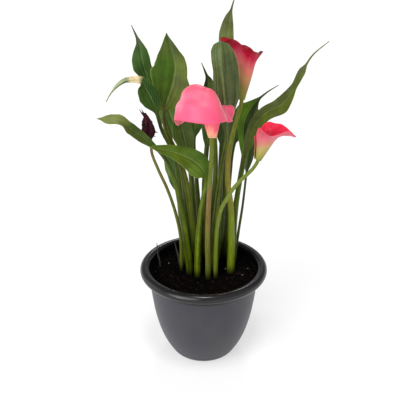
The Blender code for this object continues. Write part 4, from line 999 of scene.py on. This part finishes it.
settle(wiltedHead(wilted), grainPaint("wilted spathe", drySkin, 1.6, "180308", "441420"),
       "wilted", "spathe_wilted")
rings = tubeRings(wilted["root"], wilted["line"], wilted["radii"], 44, wobble=0.05)
settle(tubePiece("ScapeWilted", rings, "along"), stemPaint("wilted scape flesh", wilted["stem"]),
       "scape_olive", "scape_wilted")

# Dry stubs of old stalks
stubs = {
    "dry_stub": dict(root=(-33, 25), line=[(-35, 23, 131), (-39, 15, 155)], radii=(1.9, 0.5)),
    "dry_twig": dict(root=(-60, 22), line=[(-62, 20, 132), (-63, 14, 154)], radii=(1.5, 0.5)),
}
stubPaint = grainPaint("dry stalk", drySkin, 1.2, "1C1A18", "5A544C")
for number, (node, stub) in enumerate(stubs.items()):
    rings = tubeRings(stub["root"], stub["line"], stub["radii"], 70 + number, rings=40, wobble=0.35)
    settle(tubePiece(pieceName(node), rings, "along"), stubPaint, "dry", node)
print("wilted bloom and dry stubs")


# Pot

potShape = dict(
    rimRadius=78.5, rimRoll=6.5, rimHeight=125.0, rimStart=165, rimLip=-70, wall=1.8,
    inside=[(0, 1.8), (38.5, 1.8), (42.3, 4), (46.2, 10), (53.0, 23), (59.2, 40), (64.5, 62),
            (68.4, 88), (71.2, 113)],
    sides=176, drainHoles=6, drainRadius=4.0, drainRing=29.0, drainSides=28, drainDepth=8,
    footRing=36.5, footRise=0.7, sharpAngle=40)


def roundedLine(points, steps):
    # A smooth curve through the points: a cubic between each two, with the slope at a point
    # set by its neighbours
    points = np.array(points, float)
    slopes = np.gradient(points, axis=0)
    t = np.linspace(0, 1, steps, endpoint=False)[:, None]
    curves = [(2 * t**3 - 3 * t**2 + 1) * a + (3 * t**2 - 2 * t**3) * b
              + (t**3 - 2 * t**2 + t) * slopeA + (t**3 - t**2) * slopeB
              for a, b, slopeA, slopeB in zip(points, points[1:], slopes, slopes[1:])]
    return np.vstack([*curves, points[-1:]])


def offsetLine(line, distance):
    # The same line moved to its right
    along = unit(np.gradient(line, axis=0))
    return line + np.stack([along[:, 1], -along[:, 0]], axis=1) * distance


def turnedPoints(profile, sides):
    # A profile of radius and height, turned round Z
    ring = around(np.array([1.0, 0, 0]), np.array([0, 1.0, 0]), evenAngles(sides))
    return profile[:, :1, None] * ring[None] + profile[:, 1:, None] * np.array([0, 0, 1.0])


def potPiece(shape):
    # The inner face from the floor up, over the roll and under its lip, and the outer face
    # back down. The profile is turned round Z, and the drain holes are cut.
    floor = [(r, shape["wall"]) for r in np.linspace(0.5, shape["inside"][1][0] - 3, 8)]
    side = roundedLine(shape["inside"][1:], 7)
    turns = np.radians(np.linspace(shape["rimStart"], shape["rimLip"], 34))
    roll = np.stack([shape["rimRadius"] + shape["rimRoll"] * np.cos(turns),
                     shape["rimHeight"] + shape["rimRoll"] * np.sin(turns)], axis=1)
    inner = np.vstack([floor, side, roll[1:]])
    outer = offsetLine(inner, shape["wall"])
    lowest = np.where(outer[:, 0] < shape["footRing"], shape["footRise"], 0)
    outer[:, 1] = np.maximum(outer[:, 1], lowest)
    profile = np.vstack([inner, outer[::-1]])
    points = capped(turnedPoints(profile, shape["sides"]))
    body = surface("Pot", points, tubeFaces(len(profile), shape["sides"]))
    cutters = bpy.data.collections.new("drain cutters")
    radius, depth = shape["drainRadius"] * mm, shape["drainDepth"] * mm
    for turn in (np.arange(shape["drainHoles"]) + 0.5) * 2 * math.pi / shape["drainHoles"]:
        mesh = bpy.data.meshes.new("drain")
        bm = bmesh.new()
        bmesh.ops.create_cone(bm, cap_ends=True, segments=shape["drainSides"], radius1=radius,
                              radius2=radius, depth=depth)
        middle = np.array([math.cos(turn), math.sin(turn), 0]) * shape["drainRing"] * mm
        bmesh.ops.translate(bm, vec=middle, verts=bm.verts)
        bm.to_mesh(mesh)
        bm.free()
        cutters.objects.link(bpy.data.objects.new("drain", mesh))
    cut = body.modifiers.new("Drains", "BOOLEAN")
    cut.operand_type, cut.collection, cut.operation = "COLLECTION", cutters, "DIFFERENCE"
    finishedMesh(body)
    for cutter in list(cutters.objects):
        bpy.data.objects.remove(cutter, do_unlink=True)
    body.data.set_sharp_from_angle(angle=math.radians(shape["sharpAngle"]))
    return body


# The pot's skin in millimetres: the size of its clouds and pebbles, the heights between which
# the painted shade at its foot comes in and that of its inside starts, how far from the roll's
# foot the painted shade under the lip starts and is full, and how wide the rim's painted shade
# and the inside's fade in. The rim, foot, lip and inside inks are painted shade.
potSkin = dict(cloud=45, pebble=1.2, body=[(0.3, "2B2A36"), (0.7, "3A393C")], foot=(20, 1),
               inside=(110, 113), lipShade=(5, 2.5), rimFade=1, insideFade=3, rimShadeInk="151417",
               potFootShadeInk="121218", lipShadeInk="08080A", insideShadeInk="070607")


def potPaint(shape, skin):
    # Recycled polypropylene, blow moulded: charcoal grey, satin, with a faint pebbled skin
    # and slightly uneven gloss where the mould was worn. The rolled rim is glossier. Painted
    # shade darkens the rim and the foot, and paints a band under the lip and the pot's
    # inside near its top nearly black.
    paint, tree, shader = newPaint("charcoal polypropylene")
    place = addNode(tree, "TexCoord", {}, "Object")
    clouds = addNode(tree, "TexNoise", {"Vector": place, "Scale": 1 / (skin["cloud"] * mm),
                                        "Detail": 3.0})
    pebble = addNode(tree, "TexNoise", {"Vector": place, "Scale": 1 / (skin["pebble"] * mm),
                                        "Detail": 2.0})
    height = addNode(tree, "SeparateXYZ", [place], "Z")
    level = addNode(tree, "VectorMath", [place, (1, 1, 0)], operation="MULTIPLY")
    radius = addNode(tree, "VectorMath", [level], operation="LENGTH")
    rimFoot, rimRadius = shape["rimHeight"] - shape["rimRoll"], shape["rimRadius"]
    # The rolled rim: painted shade darkens it, and it is glossier
    inRim = addNode(tree, "MapRange", [height, (rimFoot - skin["rimFade"]) * mm,
                                       (rimFoot + skin["rimFade"]) * mm])
    # Painted shade at the pot's foot
    footTop, footFull = skin["foot"]
    potFootShade = addNode(tree, "MapRange", [height, footTop * mm, footFull * mm, 0, 0.6])
    # Painted shade in a band round the roll's foot, under the lip
    offLip = addNode(tree, "Math", [height, rimFoot * mm], operation="SUBTRACT")
    offLip = addNode(tree, "Math", [offLip], operation="ABSOLUTE")
    lipStart, lipFull = skin["lipShade"]
    underLipShade = addNode(tree, "MapRange", [offLip, lipStart * mm, lipFull * mm, 0, 0.9])
    # Painted shade on the pot's inside near its top and the roll's inner half, nearly black
    within = addNode(tree, "MapRange", [radius, rimRadius * mm,
                                        (rimRadius - skin["insideFade"]) * mm])
    insideStart, insideFull = skin["inside"]
    highUp = addNode(tree, "MapRange", [height, insideStart * mm, insideFull * mm])
    inside = addNode(tree, "Math", [within, highUp], operation="MULTIPLY")
    colour = addNode(tree, "ValToRGB", [clouds], stops=skin["body"])
    # Painted shade over the body's colour: darker rim and foot, nearly black under the lip and
    # inside
    colour = layered(tree, colour, [(inRim, skin["rimShadeInk"]), (potFootShade, skin["potFootShadeInk"]),
                                    (underLipShade, skin["lipShadeInk"]), (inside, skin["insideShadeInk"])])
    bodyGloss = addNode(tree, "MapRange", [clouds, 0.3, 0.7, 0.40, 0.50])
    rimGloss = addNode(tree, "MapRange", [inRim, 0, 1, 1.0, 0.5])
    fill(tree, shader, {
        "Base Color": colour,
        "Roughness": addNode(tree, "Math", [bodyGloss, rimGloss], operation="MULTIPLY"),
        "Normal": addNode(tree, "Bump", {"Height": pebble, "Strength": 0.12, "Distance": 0.0003}),
        "Specular IOR Level": 0.42})
    return paint


settle(potPiece(potShape), potPaint(potShape, potSkin), "pot", "pot")
print("pot")


# Peat

peatShape = dict(
    top=114.0, edge=69.6, mounds=[(0.11, 0.13, 0.6, 0.7), (0.12, -0.10, 2.1, 0.6),
                                  (0.21, -0.17, 0.0, 0.5)],
    lumps=1.5, lumpSize=7.0, crest=2.5, wallTop=6, rings=150, sides=260, crumbs=2600,
    crumbSize=(0.7, 2.6), crumbClear=1.2, fibres=110, fibreLength=(5, 14), fibreClear=6.0,
    fibreRadius=(0.22, 0.5), perlite=9, perliteSize=(0.8, 1.4), perliteClear=3.0,
    perliteSpot=(-9, -38), clearOfWall=1.5)


def peatTop(x, y):
    # Low mounds with a cloddy noise on them. A mound is a wave: its turn per millimetre along
    # x and y, its start and its height.
    low = sum(high * np.sin(alongX * x + alongY * y + start)
              for alongX, alongY, start, high in peatShape["mounds"])
    spot = np.stack([x, y, np.zeros_like(x)], axis=-1)
    clods = np.abs(cloud(spot, peatShape["lumpSize"], 80, 4))
    return peatShape["top"] + low + peatShape["lumps"] * (clods - 0.4)


def peatPiece(shape):
    # A solid that fills the pot: its cloddy top, then the pot's inner face down to the floor
    radius = np.linspace(0.4, shape["edge"], shape["rings"])
    angles = evenAngles(shape["sides"])
    x, y = radius[:, None] * np.cos(angles), radius[:, None] * np.sin(angles)
    z = np.minimum(peatTop(x, y), shape["top"] + shape["crest"])
    top = np.stack([x, y, z], axis=-1)
    wall = offsetLine(roundedLine(potShape["inside"][1:], 4), -gap)[::-1]
    wall = wall[wall[:, 1] < shape["top"] - shape["wallTop"]]
    below = turnedPoints(np.vstack([wall, [(0.4, wall[-1, 1])]]), shape["sides"])
    points = capped(np.concatenate([top, below]))
    return surface("Peat", points, tubeFaces(len(top) + len(below), shape["sides"]))


def scattered(shapePoints, shapeFaces, places, sizes, turns):
    # Copies of one small shape, each at its own place, size and turn, in one array
    points = np.einsum("nij,pj->npi", turns, shapePoints) * sizes[:, None] + places[:, None]
    shift = np.arange(len(places))[:, None, None] * len(shapePoints)
    return points.reshape(-1, 3), (shapeFaces[None] + shift).reshape(-1, shapeFaces.shape[1])


def randomTurns(random, count):
    # Random turns: three random vectors made square to each other
    turns, _ = np.linalg.qr(random.normal(size=(count, 3, 3)))
    turns[:, :, 0] *= np.sign(np.linalg.det(turns))[:, None]
    return turns


def roundLump():
    # The corners and faces of a 20-sided ball
    bm = bmesh.new()
    bmesh.ops.create_icosphere(bm, subdivisions=1, radius=1.0)
    points = np.array([v.co for v in bm.verts])
    faces = np.array([[v.index for v in f.verts] for f in bm.faces])
    bm.free()
    return points, faces


def clearPlaces(random, count, stems, margin):
    # Random places on the peat, evenly spread over its round top and clear of the stems
    spots = np.empty((0, 2))
    reach = peatShape["edge"] - peatShape["clearOfWall"]
    while len(spots) < count:
        radius = reach * np.sqrt(random.uniform(0, 1, count))
        angle = random.uniform(0, 2 * math.pi, count)
        tried = np.stack([radius * np.cos(angle), radius * np.sin(angle)], axis=1)
        away = np.linalg.norm(tried[:, None] - stems[None, :, :2], axis=2) - stems[None, :, 2]
        spots = np.concatenate([spots, tried[away.min(axis=1) > margin]])
    return spots[:count]


def crumbPiece(name, random, spots, sizes):
    lump, faces = roundLump()
    lump = lump * random.uniform(0.7, 1.25, lump.shape)
    z = peatTop(spots[:, 0], spots[:, 1])
    places = np.column_stack([spots, z + 0.25 * sizes])
    spread = sizes[:, None] * random.uniform(0.55, 1.1, (len(spots), 3))
    points, faces = scattered(lump, faces, places, spread, randomTurns(random, len(spots)))
    piece = surface(name, points, [faces])
    piece.data.shade_flat()
    return piece


def fibrePiece(random, spots):
    # Root and moss fibres: bent four-sided threads that lie on the peat
    count, steps = len(spots), 7
    length = random.uniform(*peatShape["fibreLength"], count)
    way = random.uniform(0, 2 * math.pi, count)
    bow = random.uniform(-0.35, 0.35, count)
    t = np.linspace(-0.5, 0.5, steps)
    x = spots[:, :1] + length[:, None] * (t * np.cos(way)[:, None]
                                          - bow[:, None] * t**2 * np.sin(way)[:, None])
    y = spots[:, 1:] + length[:, None] * (t * np.sin(way)[:, None]
                                          + bow[:, None] * t**2 * np.cos(way)[:, None])
    z = peatTop(x, y) + 0.35
    centre = np.stack([x, y, z], axis=-1)
    ahead = unit(np.gradient(centre, axis=1))
    side = unit(np.cross(ahead, (0, 0, 1.0)))
    up = np.cross(side, ahead)
    width = random.uniform(*peatShape["fibreRadius"], count)[:, None] * (1 - (2 * t) ** 4 * 0.7)
    rings = centre[:, :, None] + around(side, up, evenAngles(4)) * width[..., None, None]
    quads, fans = tubeFaces(steps, 4)
    ends = np.stack([rings[:, 0].mean(1), rings[:, -1].mean(1)], axis=1)
    each = np.concatenate([rings.reshape(count, -1, 3), ends], axis=1)
    shift = np.arange(count)[:, None, None] * each.shape[1]
    return surface("PeatFibres", each.reshape(-1, 3),
                   [(quads[None] + shift).reshape(-1, 4), (fans[None] + shift).reshape(-1, 3)])


random = np.random.default_rng(31)
stems = [(*shape["root"], shape["stalk"][0]) for shape in leaves.values()]
stems += [(*shape["root"], shape["radii"][0])
          for shape in [*blooms.values(), wilted, *stubs.values()]]
stems = np.array(stems, float)
peatBrown = grainPaint("damp peat", peatSkin, 4.5, "040202", "080405", "140A08")
settle(peatPiece(peatShape), peatBrown, "soil", "soil")
spots = clearPlaces(random, peatShape["crumbs"], stems, peatShape["crumbClear"])
low, high = peatShape["crumbSize"]
sizes = low + (high - low) * random.uniform(0, 1, len(spots)) ** 3
settle(crumbPiece("PeatCrumbs", random, spots, sizes),
       grainPaint("peat crumbs", peatSkin, 4.5, "060304", "0B0605", "1C100B"), "soil")
spots = clearPlaces(random, peatShape["fibres"], stems, peatShape["fibreClear"])
settle(fibrePiece(random, spots),
       grainPaint("peat fibres", drySkin, 2.0, "140B08", "3E2818"), "soil")
spots = clearPlaces(random, peatShape["perlite"], stems, peatShape["perliteClear"])
spots[0] = peatShape["perliteSpot"]
sizes = random.uniform(*peatShape["perliteSize"], len(spots))
settle(crumbPiece("PerliteGrains", random, spots, sizes),
       grainPaint("perlite", drySkin, 1.0, "8A8880", "E8E6DE"), "soil")
print("peat:", peatShape["crumbs"], "crumbs")


# Floor, light and camera. The lens is given by its length in pixels of a 400 pixel frame.

stage = dict(floorSize=30.0, floorGlow=0.52, fibre=2.5, zenithLight=0.28, levelLight=0.95,
             wallTop=0.3, cameraPlace=(-4.8, -723.9, 550.8), pitch=24.3, lensPixels=620,
             framePixels=400, sensor=36.0)
lamps = {
    "key": dict(place=(-0.75, -1.0, 0.62), spread=50, strength=1.9),
    "spark": dict(place=(-0.85, -1.0, 0.3), spread=14, strength=0.25),
    "side": dict(place=(-1.0, 0.15, 0.35), spread=40, strength=0.35),
    "fill": dict(place=(1.0, -0.7, 0.5), spread=90, strength=0.5),
    "top": dict(place=(0.0, -0.25, 1.0), spread=13, strength=0.85),
    "back": dict(place=(0.1, 1.0, 1.0), spread=16, strength=0.5),
}


def floorPaint():
    # Studio paper: matt white pulp, lit from below so that it runs into the white walls
    paint, tree, shader = newPaint("studio paper")
    place = addNode(tree, "TexCoord", {}, "Object")
    fibre = addNode(tree, "TexNoise", {"Vector": place, "Scale": 1 / (stage["fibre"] * mm),
                                       "Detail": 2.0})
    fill(tree, shader, {"Base Color": layered(tree, "BEBEBE", [(fibre, "C2C2C2")]),
                        "Roughness": 0.9, "Specular IOR Level": 0.1,
                        "Emission Color": "FFFFFF", "Emission Strength": stage["floorGlow"]})
    return paint


bpy.ops.mesh.primitive_plane_add(size=stage["floorSize"])
floor = bpy.context.object
floor.name = "Floor"
floor.data.materials.append(floorPaint())

# White walls up to a low height, and a dimmer room above them
world = bpy.data.worlds.new("white studio")
bpy.context.scene.world = world
world.use_nodes = True
sky = world.node_tree
height = addNode(sky, "SeparateXYZ", [addNode(sky, "TexCoord", {}, "Generated")], "Z")
glow = addNode(sky, "MapRange", [height, 0, stage["wallTop"], stage["levelLight"],
                                 stage["zenithLight"]])
fill(sky, sky.nodes["Background"], {"Color": "FFFFFF", "Strength": glow})

for name, lamp in lamps.items():
    light = bpy.data.lights.new(name, "SUN")
    light.angle, light.energy = math.radians(lamp["spread"]), lamp["strength"]
    holder = bpy.data.objects.new(name, light)
    bpy.context.scene.collection.objects.link(holder)
    holder.location = lamp["place"]
    way = unit(lamp["place"])
    holder.rotation_euler = (math.acos(way[2]), 0, math.atan2(way[0], -way[1]))

bpy.context.scene.view_settings.view_transform = "Standard"
lens = bpy.data.cameras.new("camera")
lens.sensor_width = stage["sensor"]
lens.lens = stage["lensPixels"] / stage["framePixels"] * stage["sensor"]
camera = bpy.data.objects.new("camera", lens)
bpy.context.scene.collection.objects.link(camera)
camera.location = [x * mm for x in stage["cameraPlace"]]
camera.rotation_euler = (math.radians(90 - stage["pitch"]), 0, 0)
bpy.context.scene.camera = camera
print("stage")
